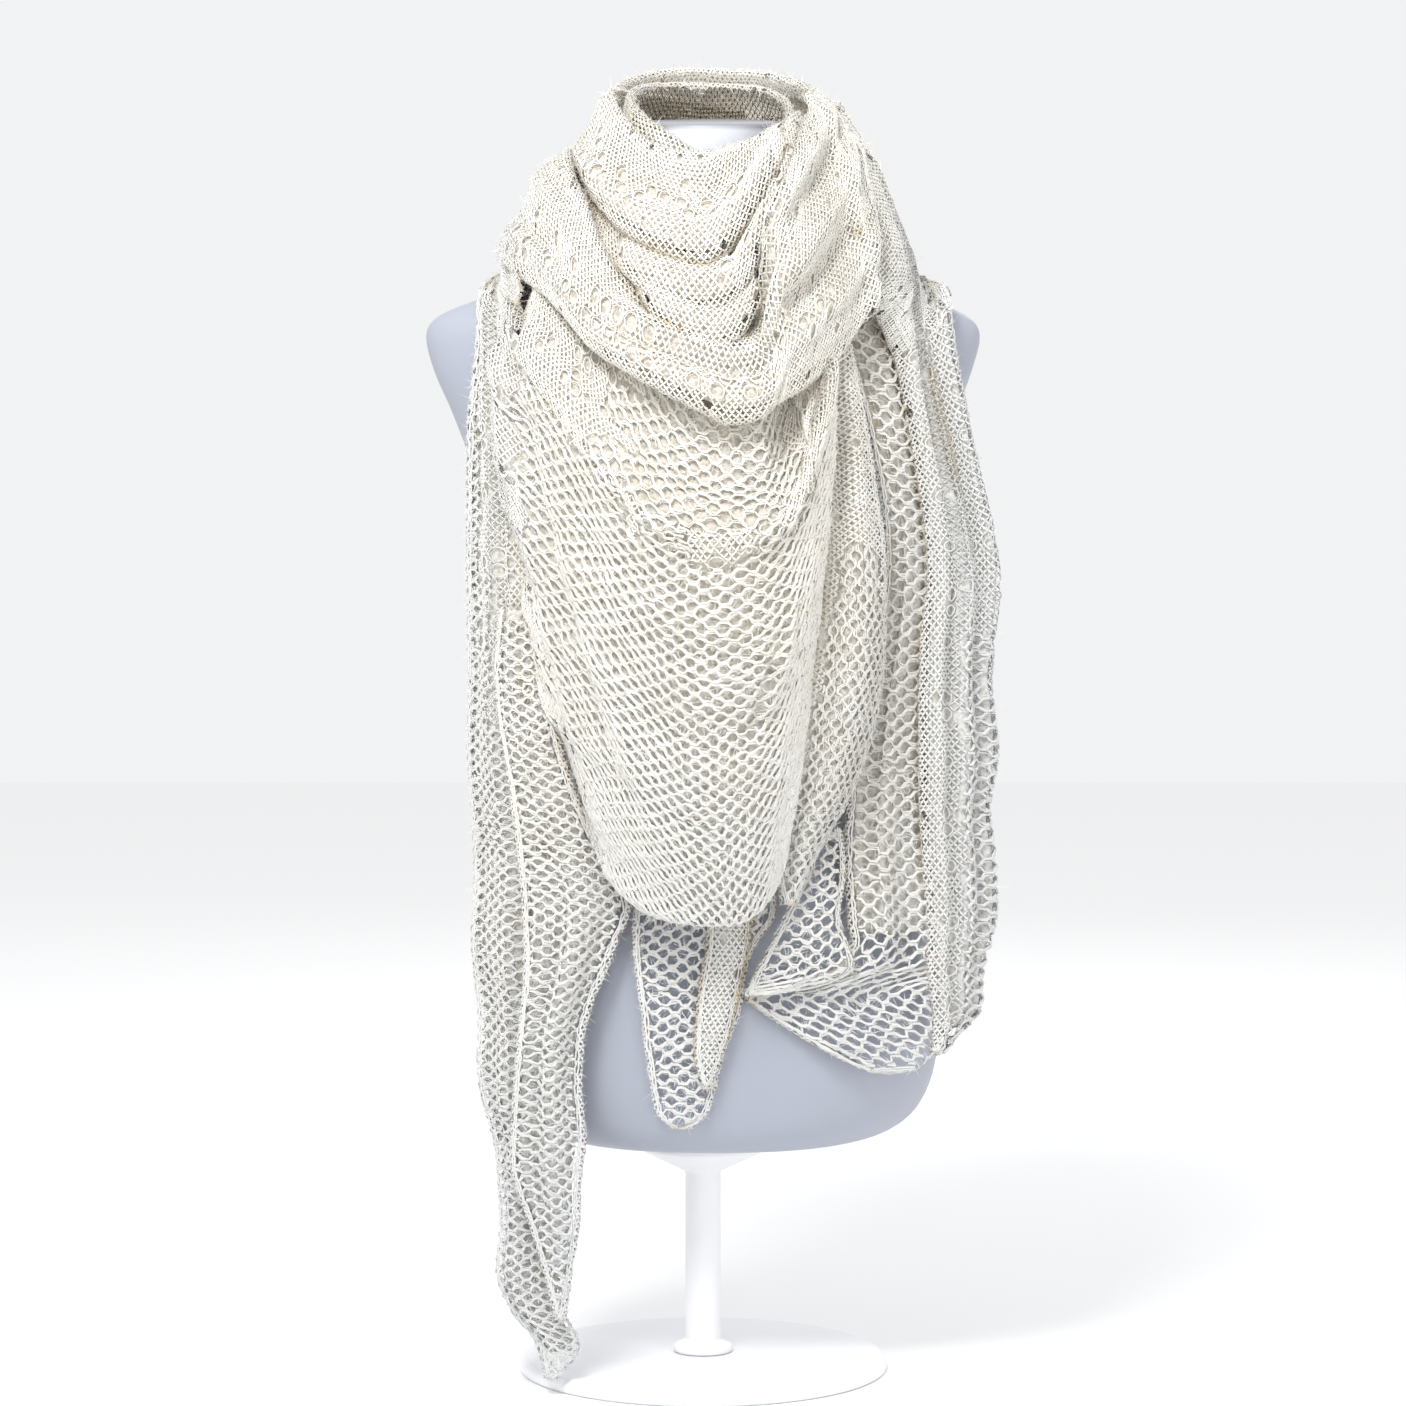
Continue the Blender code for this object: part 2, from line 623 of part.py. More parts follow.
def cloth_stretch(name, grid, wound, parts):
    """One stretch of the shawl: its grid, less the eyelets, thickened inwards."""
    rows, cols = grid.shape[:2]
    open_cells = eyelet_cells(name)
    kept = [f for f in faces_of(rows, cols) if (f[0] // cols, f[0] % cols) not in open_cells]
    bm = bmesh.new()
    verts = [bm.verts.new(point) for point in grid.reshape(-1, 3)]
    for face in kept:
        bm.faces.new([verts[k] for k in face])
    bm.normal_update()
    away = outward_of(grid, wound).reshape(-1, 3)
    facing = sum(f.calc_area() * f.normal.dot(Vector(away[f.verts[0].index])) for f in indexed(bm))
    if facing < 0:
        bmesh.ops.reverse_faces(bm, faces=list(bm.faces))
    obj = add_object(name, bm, WOOL, parts)
    wall = obj.modifiers.new("wall", "SOLIDIFY")
    wall.thickness = WALL
    wall.offset = -1
    wall.use_even_offset = False
    return obj


def indexed(bm):
    bm.verts.index_update()
    return bm.faces


def loft(name, rings, look, parts):
    """A closed solid through rings of points, with a fan at each end."""
    bm = bmesh.new()
    loops = [[bm.verts.new(point) for point in ring_points] for ring_points in rings]
    count = len(loops[0])
    for low, high in zip(loops, loops[1:]):
        for k in range(count):
            n = (k + 1) % count
            bm.faces.new((low[k], low[n], high[n], high[k]))
    for loop, points, flip in ((loops[0], rings[0], True), (loops[-1], rings[-1], False)):
        middle = bm.verts.new(np.mean(points, axis=0))
        for k in range(count):
            pair = (loop[k], loop[(k + 1) % count])
            bm.faces.new((pair[1], pair[0], middle) if flip else (pair[0], pair[1], middle))
    return add_object(name, bm, look, parts)


def form_ring(z, centre_x, half_width, front, back, roundness, slant):
    """One section of the torso form: an oval whose front and back depths differ."""
    points = []
    for k in range(FORM_SEGMENTS):
        turn = 2 * math.pi * k / FORM_SEGMENTS
        c, s = math.cos(turn), math.sin(turn)
        depth = back if s > 0 else front
        x = centre_x + half_width * math.copysign(abs(c) ** (2 / roundness), c)
        y = depth * math.copysign(abs(s) ** (2 / roundness), s)
        points.append((x * MM, y * MM, (z + slant * y / depth) * MM))
    return points


def turned(name, profile, segments, look, parts):
    """A solid turned about the Z axis from rows of (z, radius)."""
    rings = [
        [(r * MM * math.cos(2 * math.pi * k / segments), r * MM * math.sin(2 * math.pi * k / segments), z * MM)
         for k in range(segments)]
        for z, r in profile
    ]
    return loft(name, rings, look, parts)


def tree_of(layers):
    """One search tree over several lists of points and faces."""
    points, faces = [], []
    for layer_points, layer_faces in layers:
        faces += [[k + len(points) for k in face] for face in layer_faces]
        points += [Vector(p) for p in layer_points]
    return BVHTree.FromPolygons(points, faces)


def main():
    clear_scene()
    parts = bpy.data.collections.new("lace_shawl_on_form")
    bpy.context.scene.collection.children.link(parts)

    gap = SEAM_GAP / MM
    top = BASE_THICK
    base = ((0, BASE_RADIUS - 2), (1.5, BASE_RADIUS), (7, BASE_RADIUS), (10.5, BASE_RADIUS - 5), (top, 60), (top, 30))
    turned("stand_base", base, 48, STEEL, parts)
    flange = FORM_BOTTOM - gap - FLANGE_THICK
    pole = ((top + gap, 22), (top + 5, 22), (top + 9, POLE_RADIUS), (flange - 14, POLE_RADIUS), (flange, FLANGE_RADIUS - 4),
            (flange + 3, FLANGE_RADIUS), (FORM_BOTTOM - gap, FLANGE_RADIUS))
    turned("stand_pole", pole, 24, STEEL, parts)
    rings = [form_ring(*row) for row in FORM_ROWS]
    loft("form_torso", rings, PLASTIC, parts)

    count = FORM_SEGMENTS
    around = [
        (i * count + k, i * count + (k + 1) % count, (i + 1) * count + (k + 1) % count, (i + 1) * count + k)
        for i in range(len(rings) - 1)
        for k in range(count)
    ]
    layers = [([p for ring_points in rings for p in ring_points], around)]
    for name, rows, wound, bow, along, across, reach in STRETCHES:
        grid = stretch_grid(name, rows, wound, bow, along, across)
        tree = tree_of(layers)
        for _ in range(3):
            grid = laid_outside(grid, wound, tree, reach * MM)
        grid = seated(grid, wound, tree)
        cloth_stretch(name, grid, wound, parts)
        layers.append((grid.reshape(-1, 3), faces_of(*grid.shape[:2])))


main()
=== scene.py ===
"""The looks of the lace shawl on its dress form: real yarn laid on the same sections as the solids."""

import math

import bpy
import numpy as np
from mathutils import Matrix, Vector
from mathutils.bvhtree import BVHTree
from mathutils.kdtree import KDTree


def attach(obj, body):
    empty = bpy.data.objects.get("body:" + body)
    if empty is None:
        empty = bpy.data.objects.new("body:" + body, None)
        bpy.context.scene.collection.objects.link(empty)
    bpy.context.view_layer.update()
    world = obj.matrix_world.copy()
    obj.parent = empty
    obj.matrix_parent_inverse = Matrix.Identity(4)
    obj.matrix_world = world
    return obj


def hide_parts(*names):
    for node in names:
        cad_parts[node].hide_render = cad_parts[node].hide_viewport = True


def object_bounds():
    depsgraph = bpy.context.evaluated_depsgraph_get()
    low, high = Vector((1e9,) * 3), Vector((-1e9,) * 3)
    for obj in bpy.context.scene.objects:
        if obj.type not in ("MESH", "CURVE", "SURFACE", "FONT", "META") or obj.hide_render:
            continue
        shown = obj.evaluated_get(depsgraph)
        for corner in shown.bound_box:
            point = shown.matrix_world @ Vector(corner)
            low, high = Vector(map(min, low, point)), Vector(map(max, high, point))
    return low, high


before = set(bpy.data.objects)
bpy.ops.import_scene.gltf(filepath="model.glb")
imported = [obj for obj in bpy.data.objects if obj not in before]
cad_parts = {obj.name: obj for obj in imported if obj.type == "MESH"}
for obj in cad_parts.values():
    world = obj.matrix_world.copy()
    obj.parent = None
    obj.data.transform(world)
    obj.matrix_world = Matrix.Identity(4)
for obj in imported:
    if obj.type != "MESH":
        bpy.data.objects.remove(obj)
CAD_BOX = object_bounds()

MM = 0.001
WALL = 2.0 * MM
NECK_X = 6.0
LAYER_GAP = WALL + 2.4 * MM
SEED = 11

# The camera stands where the photograph was taken from
CAMERA_DISTANCE = 3.0
CAMERA_RISE = 3.0
CAMERA_TARGET = (0.0, 0.0, 0.489)
CAMERA_LENS = 105.3

# Sections of the torso form, from the flat bottom up to the slanted top of the neck.
FORM_COLUMNS = ("z", "centre_x", "half_width", "front", "back", "roundness", "slant")
FORM_ROWS = (
    (169, 8, 84, 62, 66, 2.2, 0),
    (171, 8, 104, 76, 80, 2.2, 0),
    (178, 8, 128, 87, 92, 2.2, 0),
    (192, 8, 147, 94, 100, 2.2, 0),
    (215, 8, 159, 98, 105, 2.2, 0),
    (245, 8, 164, 99, 107, 2.2, 0),
    (290, 8, 163, 98, 107, 2.2, 0),
    (350, 8, 153, 91, 100, 2.2, 0),
    (410, 7, 137, 84, 86, 2.2, 0),
    (465, 6, 127, 81, 77, 2.2, 0),
    (520, 5, 132, 90, 78, 2.2, 0),
    (575, 4, 146, 106, 84, 2.2, 0),
    (620, 3, 158, 112, 88, 2.3, 0),
    (660, 2, 169, 104, 90, 2.2, 0),
    (700, 1, 183, 90, 90, 2.0, 0),
    (730, 0, 195, 78, 86, 1.9, 0),
    (756, 0, 201, 68, 80, 1.9, 0),
    (770, 0, 192, 62, 75, 1.9, 0),
    (782, 1, 165, 60, 71, 1.9, 0),
    (794, 2, 135, 58, 67, 1.9, 0),
    (812, 4, 105, 56, 63, 1.9, 0),
    (828, 6, 76, 54, 58, 2.0, 0),
    (848, 6, 58, 53, 54, 2.0, 0),
    (875, 6, 52, 51, 52, 2.0, 1),
    (911, 6, 51, 50, 51, 2.0, 6),
)
FORM_SEGMENTS = 28

# Stretches wound round the neck. A section stands at an angle about the neck's axis, 0 at the front
# and growing towards +X, from the upper rim to the low edge. "out" is the distance from that axis.
WOUND_COLUMNS = ("rim_angle", "rim_out", "rim_z", "low_angle", "low_out", "low_z", "bulge")


def ring(*rows):
    """Rows of (angle, rim_out, rim_z, low_out, low_z, bulge), whose two ends stand at one angle."""
    return tuple((a, ro, rz, a, lo, lz, b) for a, ro, rz, lo, lz, b in rows)


NAPE_INNER = ring(
    (-12, 59, 884, 65, 864, 1),
    (-30, 59, 896, 67, 862, 2),
    (-52, 60, 908, 69, 866, 2),
    (-76, 61, 921, 70, 872, 3),
    (-105, 62, 934, 70, 882, 3),
    (-140, 63, 941, 70, 890, 3),
    (-180, 63, 942, 70, 892, 3),
    (-220, 63, 938, 70, 889, 3),
    (-255, 61, 925, 69, 882, 3),
    (-285, 60, 910, 68, 874, 2),
    (-308, 59, 896, 67, 866, 2),
)

THROAT_COWL = ring(
    (-200, 76, 925, 86, 878, 3),
    (-165, 76, 932, 88, 874, 4),
    (-130, 76, 935, 89, 874, 3),
    (-98, 77, 934, 94, 880, 5),
    (-76, 74, 922, 98, 873, 6),
    (-56, 72, 905, 104, 857, 6),
    (-36, 71, 889, 110, 836, 5),
    (-16, 70, 883, 115, 815, 4),
    (-1, 70, 883, 116, 808, 4),
    (11, 71, 886, 111, 836, 4),
    (20, 72, 891, 105, 862, 3),
    (27, 73, 897, 97, 881, 2),
)

SECOND_COWL = ring(
    (-35, 84, 846, 112, 808, 3),
    (-25, 83, 850, 117, 795, 4),
    (-12, 83, 848, 122, 780, 5),
    (0, 84, 847, 125, 774, 5),
    (9, 85, 850, 123, 788, 5),
    (16, 87, 857, 119, 820, 4),
    (22, 90, 863, 112, 844, 3),
    (28, 89, 877, 108, 862, 3),
    (36, 84, 897, 101, 880, 2),
    (46, 79, 909, 92, 890, 2),
    (58, 77, 914, 86, 894, 1),
)

THIRD_COWL = ring(
    (-27, 97, 815, 116, 797, 1),
    (-19, 97, 815, 130, 774, 3),
    (-8, 98, 812, 137, 755, 4),
    (2, 99, 812, 139, 748, 4),
    (10, 101, 812, 135, 764, 3),
    (15, 104, 806, 126, 788, 1),
)

COLLAR_FOLD = ring(
    (-150, 100, 900, 125, 838, 4),
    (-120, 104, 897, 140, 828, 5),
    (-95, 107, 893, 151, 820, 6),
    (-77, 110, 884, 152, 812, 6),
    (-63, 113, 866, 150, 800, 6),
    (-51, 117, 846, 148, 784, 6),
    (-42, 121, 822, 150, 768, 6),
    (-34, 121, 798, 152, 750, 6),
    (-26, 118, 785, 154, 738, 7),
    (-16, 112, 773, 157, 724, 8),
    (-5, 107, 768, 159, 709, 9),
    (5, 106, 767, 159, 697, 9),
    (13, 110, 767, 158, 702, 9),
    (16, 118, 780, 157, 708, 9),
    (19, 127, 842, 156, 713, 7),
    (25, 123, 858, 155, 721, 6),
    (31, 117, 882, 153, 731, 6),
    (40, 107, 904, 149, 750, 6),
    (50, 97, 915, 137, 788, 5),
    (60, 91, 918, 112, 868, 3),
)

CHEST_FOLD = ring(
    (-62, 119, 836, 151, 768, 3),
    (-54, 123, 820, 157, 743, 4),
    (-45, 125, 802, 158, 718, 5),
    (-36, 126, 783, 158, 692, 5),
    (-27, 124, 768, 159, 660, 6),
    (-16, 124, 755, 160, 626, 6),
    (-4, 127, 738, 161, 607, 6),
    (8, 129, 725, 162, 608, 6),
    (15, 131, 730, 162, 615, 2),
    (20, 133, 738, 158, 637, -9),
    (25, 136, 747, 157, 680, -6),
    (31, 134, 757, 153, 716, 2),
)

FRONT_POUCH = (
    (-66, 160, 776, -36, 140, 392, 4),
    (-57, 163, 751, -32, 143, 379, 6),
    (-47, 165, 726, -27, 146, 367, 8),
    (-37, 167, 702, -21, 149, 357, 10),
    (-27, 168, 669, -14, 151, 350, 12),
    (-16, 169, 636, -6, 152, 346, 13),
    (-4, 170, 617, 2, 153, 345, 13),
    (8, 171, 618, 8, 153, 347, 12),
    (15, 171, 625, 12, 151, 352, 11),
    (21, 169, 647, 16, 148, 360, 10),
    (27, 166, 690, 19, 144, 372, 8),
    (33, 162, 727, 21, 140, 386, 5),
)

LEFT_FALL = (
    (-68, 127, 850, -150, 116, 856, 4),
    (-69, 140, 832, -150, 126, 840, 5),
    (-68, 148, 808, -142, 138, 818, 6),
    (-66, 153, 788, -124, 147, 806, 5),
    (-65, 155, 773, -98, 156, 800, 4),
    (-65, 156, 760, -82, 169, 786, 4),
    (-64, 156, 738, -74, 176, 747, 3),
    (-60, 155, 700, -71, 183, 702, 4),
    (-58, 152, 650, -71, 184, 650, 5),
    (-57, 150, 600, -72, 184, 600, 6),
    (-54, 149, 546, -72, 184, 546, 6),
    (-50.8, 155, 500, -72.6, 184, 500, 6),
    (-49.8, 152, 455, -71.8, 185, 455, 6),
    (-48.3, 147, 382, -69.8, 182, 382, 6),
    (-47.2, 144, 323, -68.7, 185, 323, 6),
    (-46.4, 142, 272, -67, 181, 272, 6),
    (-45.9, 141, 236, -66.1, 183, 236, 6),
    (-45.9, 141, 210, -65.1, 181, 210, 6),
    (-46.1, 141, 192, -63.9, 177, 192, 6),
    (-46.4, 142, 174, -62.5, 174, 174, 6),
    (-47, 144, 141, -61.7, 173, 141, 6),
    (-47.5, 145, 119, -60.9, 173, 119, 6),
    (-47.8, 146, 90, -60.7, 176, 90, 6),
    (-47.8, 146, 72, -59.4, 173, 72, 5),
    (-47, 144, 55, -57.1, 166, 55, 4),
    (-44.7, 138, 40, -53.6, 157, 40, 3),
    (-45.6, 140, 26, -51.9, 154, 26, 2),
    (-49.1, 150, 13, -50.3, 152, 13, 0),
)

RIGHT_OUTER_FALL = (
    (52, 101, 911, 152, 99, 904, 3),
    (51, 124, 872, 150, 112, 874, 5),
    (50, 135, 838, 147, 121, 846, 7),
    (50, 143, 808, 139, 135, 818, 8),
    (52, 148, 782, 122, 147, 806, 5),
    (55, 150, 766, 100, 158, 799, 4),
    (58, 152, 750, 82, 172, 787, 4),
    (61, 154, 732, 74, 181, 752, 4),
    (63, 158, 692, 74, 190, 705, 5),
    (64, 165, 652, 75, 197, 660, 7),
    (65, 170, 615, 76, 205, 620, 9),
    (65, 172, 580, 77, 209, 580, 11),
    (63, 172, 545, 77, 205, 545, 11),
    (62, 172, 505, 77, 203, 505, 11),
    (62, 172, 457, 77, 209, 457, 12),
    (62, 173, 418, 77, 201, 418, 11),
    (63, 174, 378, 77, 207, 378, 12),
    (64, 175, 336, 77, 209, 336, 11),
    (64, 176, 300, 76, 199, 300, 10),
    (65, 177, 272, 76, 200, 272, 8),
    (65, 177, 253, 75, 186, 255, 5),
    (66, 177, 240, 71, 180, 242, 2),
)

NAPE_OUTER = ring(
    (-122, 87, 938, 95, 910, 2),
    (-140, 88, 949, 98, 906, 3),
    (-162, 88, 955, 99, 904, 4),
    (-185, 88, 955, 99, 904, 4),
    (-210, 87, 952, 98, 904, 4),
    (-235, 84, 943, 93, 905, 3),
    (-258, 82, 933, 90, 906, 2),
    (-280, 81, 924, 88, 906, 2),
)

BACK_UPPER = ring(
    (-112, 128, 850, 139, 822, 3),
    (-128, 110, 880, 138, 806, 5),
    (-148, 106, 890, 134, 788, 7),
    (-170, 106, 892, 132, 772, 8),
    (-195, 106, 890, 132, 770, 8),
    (-215, 108, 886, 136, 784, 7),
    (-232, 112, 874, 142, 800, 5),
    (-246, 130, 846, 146, 818, 3),
)

BACK_LOWER = ring(
    (-118, 112, 812, 124, 788, 2),
    (-132, 100, 820, 113, 762, 4),
    (-150, 94, 826, 102, 724, 6),
    (-170, 91, 830, 98, 690, 8),
    (-188, 91, 830, 97, 676, 8),
    (-205, 94, 826, 101, 700, 7),
    (-224, 100, 820, 112, 748, 5),
    (-240, 114, 812, 126, 786, 3),
)

# Stretches that hang free. A section runs from the left edge to the right edge at about one height.
HANGING_COLUMNS = ("left_x", "left_y", "left_z", "right_x", "right_y", "right_z", "bulge")


def level(*rows):
    """Rows of (z, left_x, left_y, right_x, right_y, bulge), whose two ends stand at one height."""
    return tuple((lx, ly, z, rx, ry, z, b) for z, lx, ly, rx, ry, b in rows)


POUCH_BORDER = level(
    (760, 88, -100, 101, -92, 2),
    (720, 82, -110, 110, -98, 3),
    (680, 80, -118, 117, -104, 5),
    (637, 80, -122, 123, -106, 8),
    (593, 78, -124, 128, -106, 10),
    (550, 71, -127, 129, -106, 11),
    (506, 62, -130, 126, -107, 12),
    (462, 53, -132, 116, -110, 12),
    (425, 49, -132, 101, -116, 10),
    (396, 49, -130, 84, -121, 7),
    (372, 53, -128, 72, -124, 3),
    (354, 57, -128, 64, -126, 1),
)

LEFT_TAIL = level(
    (560, -139, -80, -116, -92, 2),
    (525, -141, -80, -112, -97, 3),
    (491, -139, -84, -107, -102, 4),
    (448, -134, -92, -97, -106, 4),
    (404, -131, -99, -80, -106, 5),
    (367, -128, -105, -60, -106, 6),
    (352, -127, -107, -54, -106, 6),
    (338, -126, -109, -57, -106, 6),
    (323, -125, -110, -64, -107, 6),
    (301, -125, -112, -72, -108, 6),
    (272, -128, -112, -84, -109, 6),
    (229, -132, -112, -88, -110, 6),
    (199, -134, -111, -86, -110, 6),
    (181, -135, -111, -85, -110, 6),
    (160, -134, -110, -88, -110, 5),
    (126, -122, -110, -89, -110, 4),
    (97, -114, -110, -93, -110, 3),
    (72, -107, -110, -97, -110, 1),
    (57, -103, -110, -100, -110, 0),
)

CENTRE_TAIL = level(
    (402, -38, -91, 38, -91, 3),
    (370, -46, -97, 46, -97, 4),
    (345, -48, -101, 50, -101, 4),
    (320, -48, -103, 34, -104, 4),
    (298, -46, -104, 28, -105, 4),
    (272, -42, -104, 24, -105, 4),
    (256, -41, -104, 17, -105, 4),
    (239, -38, -104, 12, -105, 3),
    (218, -35, -104, 7, -105, 3),
    (203, -32, -104, 2, -105, 2),
    (197, -27, -104, -5, -105, 1),
    (193, -20, -104, -12, -105, 0),
)

CENTRE_TAIL_FOLD = level(
    (372, 8, -107, 38, -106, 3),
    (345, 5, -111, 34, -110, 4),
    (320, 3, -112, 31, -111, 4),
    (298, -1, -112, 26, -112, 4),
    (272, -4, -112, 21, -112, 4),
    (250, -5, -112, 14, -112, 3),
    (234, -3, -112, 9, -112, 2),
    (222, 1, -112, 5, -112, 1),
)

RIGHT_INNER_FALL = level(
    (805, 80, -80, 116, -70, 2),
    (765, 93, -78, 128, -66, 4),
    (725, 108, -80, 142, -64, 5),
    (680, 119, -82, 152, -62, 6),
    (637, 127, -83, 159, -60, 7),
    (593, 130, -84, 163, -58, 8),
    (550, 125, -86, 165, -58, 8),
    (506, 115, -89, 165, -60, 8),
    (462, 108, -91, 165, -62, 8),
    (418, 104, -93, 166, -63, 8),
    (382, 102, -94, 167, -64, 8),
    (345, 105, -96, 169, -66, 7),
    (312, 104, -98, 170, -68, 6),
    (298, 66, -104, 170, -69, 8),
    (288, 32, -104, 170, -70, 12),
    (278, 40, -105, 169, -71, 12),
    (264, 62, -104, 168, -72, 10),
    (250, 84, -102, 166, -74, 7),
    (239, 103, -98, 162, -77, 4),
    (231, 122, -93, 152, -81, 2),
)

RIGHT_FLAP = level(
    (406, 84, -106, 97, -101, 1),
    (382, 76, -110, 100, -104, 3),
    (360, 66, -113, 98, -106, 4),
    (342, 57, -115, 96, -108, 5),
    (328, 50, -116, 100, -109, 6),
    (314, 43, -117, 105, -109, 6),
    (304, 38, -117, 103, -110, 6),
    (296, 34, -117, 84, -114, 4),
    (290, 31, -117, 58, -117, 2),
)

# Long soft ridges of a stretch: where across it (0 to 1), how high, how wide, where along it from and to.
RIDGE_COLUMNS = ("across", "height", "spread", "begin", "end")
RIDGES = {
    "nape_outer": ((0.55, 3, 0.16, 0.0, 1.0),),
    "throat_cowl": ((0.75, 3, 0.14, 0.1, 0.9),),
    "collar_fold": ((0.35, 5, 0.12, 0.45, 1.0), (0.72, 5, 0.13, 0.0, 1.0), (0.52, -4, 0.09, 0.5, 1.0)),
    "chest_fold": ((0.25, 4, 0.12, 0.0, 1.0),),
    "front_pouch": ((0.07, 5, 0.06, 0.0, 1.0), (0.34, 4, 0.10, 0.3, 1.0), (0.50, -3, 0.06, 0.4, 1.0)),
    "left_fall": ((0.30, 5, 0.12, 0.1, 0.7), (0.62, -4, 0.10, 0.1, 0.7), (0.72, 4, 0.12, 0.5, 1.0)),
    "right_outer_fall": ((0.22, 5, 0.12, 0.0, 0.6), (0.42, -6, 0.09, 0.0, 0.6), (0.70, 5, 0.15, 0.0, 1.0)),
    "right_inner_fall": ((0.30, 5, 0.12, 0.1, 1.0), (0.62, -6, 0.14, 0.3, 1.0)),
    "left_tail": ((0.45, 5, 0.15, 0.2, 0.9), (0.75, -4, 0.10, 0.2, 0.8)),
    "back_upper": ((0.30, 5, 0.10, 0.0, 1.0), (0.62, 5, 0.10, 0.0, 1.0)),
    "back_lower": ((0.45, 5, 0.12, 0.0, 1.0),),
}

# Each stretch, inner ones first, as each is laid outside those before it: its rows, whether they are
# wound, how its sections bow, its cells along and across, and how deep under another it may start.
STRETCH_COLUMNS = ("name", "rows", "wound", "bow", "along", "across", "reach")
STRETCHES = (
    ("nape_inner", NAPE_INNER, True, 1.0, 26, 4, 40),
    ("back_lower", BACK_LOWER, True, 1.0, 20, 6, 40),
    ("centre_tail", CENTRE_TAIL, False, 1.0, 16, 5, 40),
    ("right_inner_fall", RIGHT_INNER_FALL, False, 1.0, 36, 6, 40),
    ("left_fall", LEFT_FALL, True, 1.0, 58, 6, 40),
    ("nape_outer", NAPE_OUTER, True, 1.0, 20, 5, 40),
    ("right_outer_fall", RIGHT_OUTER_FALL, True, 1.0, 44, 8, 40),
    ("centre_tail_fold", CENTRE_TAIL_FOLD, False, 1.0, 12, 3, 40),
    ("right_flap", RIGHT_FLAP, False, 1.0, 12, 4, 40),
    ("left_tail", LEFT_TAIL, False, 1.0, 34, 4, 40),
    ("pouch_border", POUCH_BORDER, False, 1.0, 22, 4, 40),
    ("front_pouch", FRONT_POUCH, True, 1.6, 20, 20, 40),
    ("back_upper", BACK_UPPER, True, 1.0, 22, 7, 40),
    ("chest_fold", CHEST_FOLD, True, 1.0, 22, 8, 40),
    ("collar_fold", COLLAR_FOLD, True, 1.0, 38, 8, 40),
    ("third_cowl", THIRD_COWL, True, 1.0, 10, 5, 6),
    ("second_cowl", SECOND_COWL, True, 1.0, 20, 6, 6),
    ("throat_cowl", THROAT_COWL, True, 1.0, 30, 7, 6),
)

# Clusters of round eyelets. Each row opens every "every"-th narrow cell of one narrow line of cells.
EYELET_COLUMNS = ("stretch", "line_across", "first", "last", "every")
EYELETS = (
    ("collar_fold", 3, 7, 17, 2),
    ("collar_fold", 5, 5, 31, 2),
    ("chest_fold", 3, 5, 19, 2),
    ("chest_fold", 5, 3, 19, 2),
    ("front_pouch", 1, 5, 17, 2),
    ("front_pouch", 5, 3, 15, 2),
    ("front_pouch", 9, 3, 17, 2),
    ("front_pouch", 13, 3, 17, 2),
    ("front_pouch", 17, 5, 15, 2),
    ("left_fall", 1, 15, 41, 2),
    ("left_fall", 3, 15, 55, 2),
    ("right_outer_fall", 1, 11, 41, 2),
    ("right_outer_fall", 3, 13, 41, 4),
    ("right_outer_fall", 5, 9, 41, 4),
    ("second_cowl", 3, 5, 15, 2),
    ("throat_cowl", 3, 13, 23, 2),
    ("right_inner_fall", 1, 5, 31, 2),
    ("right_inner_fall", 3, 9, 31, 2),
    ("left_tail", 1, 5, 29, 2),
    ("back_upper", 3, 3, 19, 2),
    ("back_lower", 3, 3, 17, 2),
)


def along_rows(rows, u):
    """Every column of the rows at u from 0 to 1, on one smooth curve through all the rows."""
    table = np.array(rows, float)
    last = len(table) - 1
    place = np.clip(u, 0, 1) * last
    i = np.minimum(place.astype(int), last - 1)
    t = (place - i)[:, None]
    before, here = table[np.maximum(i - 1, 0)], table[i]
    after, beyond = table[i + 1], table[np.minimum(i + 2, last)]
    cubic = -before + 3 * here - 3 * after + beyond
    square = 2 * before - 5 * here + 4 * after - beyond
    return here + 0.5 * (t * (after - before) + t * t * square + t**3 * cubic)


def section_points(rows, wound, bow, u, v):
    """Points in millimetres on a stretch, for u along it and v across it."""
    a_x, a_y, a_z, b_x, b_y, b_z, bulge = along_rows(rows, u).T
    swell = bulge * np.sin(np.pi * v)
    z = a_z + (b_z - a_z) * v
    if wound:
        angle = np.radians(a_x + (b_x - a_x) * np.clip(v, 0, 1) ** bow)
        out = a_y + (b_y - a_y) * v + swell
        return np.stack([NECK_X + out * np.sin(angle), -out * np.cos(angle), z], axis=1)
    x = a_x + (b_x - a_x) * v
    y = a_y + (b_y - a_y) * v
    out_x, out_y = -(b_y - a_y), b_x - a_x
    size = np.maximum(np.hypot(out_x, out_y), 1e-6)
    return np.stack([x - swell * out_x / size, y - swell * out_y / size, z], axis=1)


def ridge_height(name, u, v):
    """How far the ridges lift a stretch at u and v."""
    lift = np.zeros_like(u)
    for across, height, spread, begin, end in RIDGES.get(name, ()):
        middle, half = (begin + end) / 2, (end - begin) / 2
        fade = np.clip(1 - np.abs(u - middle) / half, 0, 1)
        lift += height * np.sin(fade * np.pi / 2) * np.exp(-(((v - across) / spread) ** 2))
    return lift


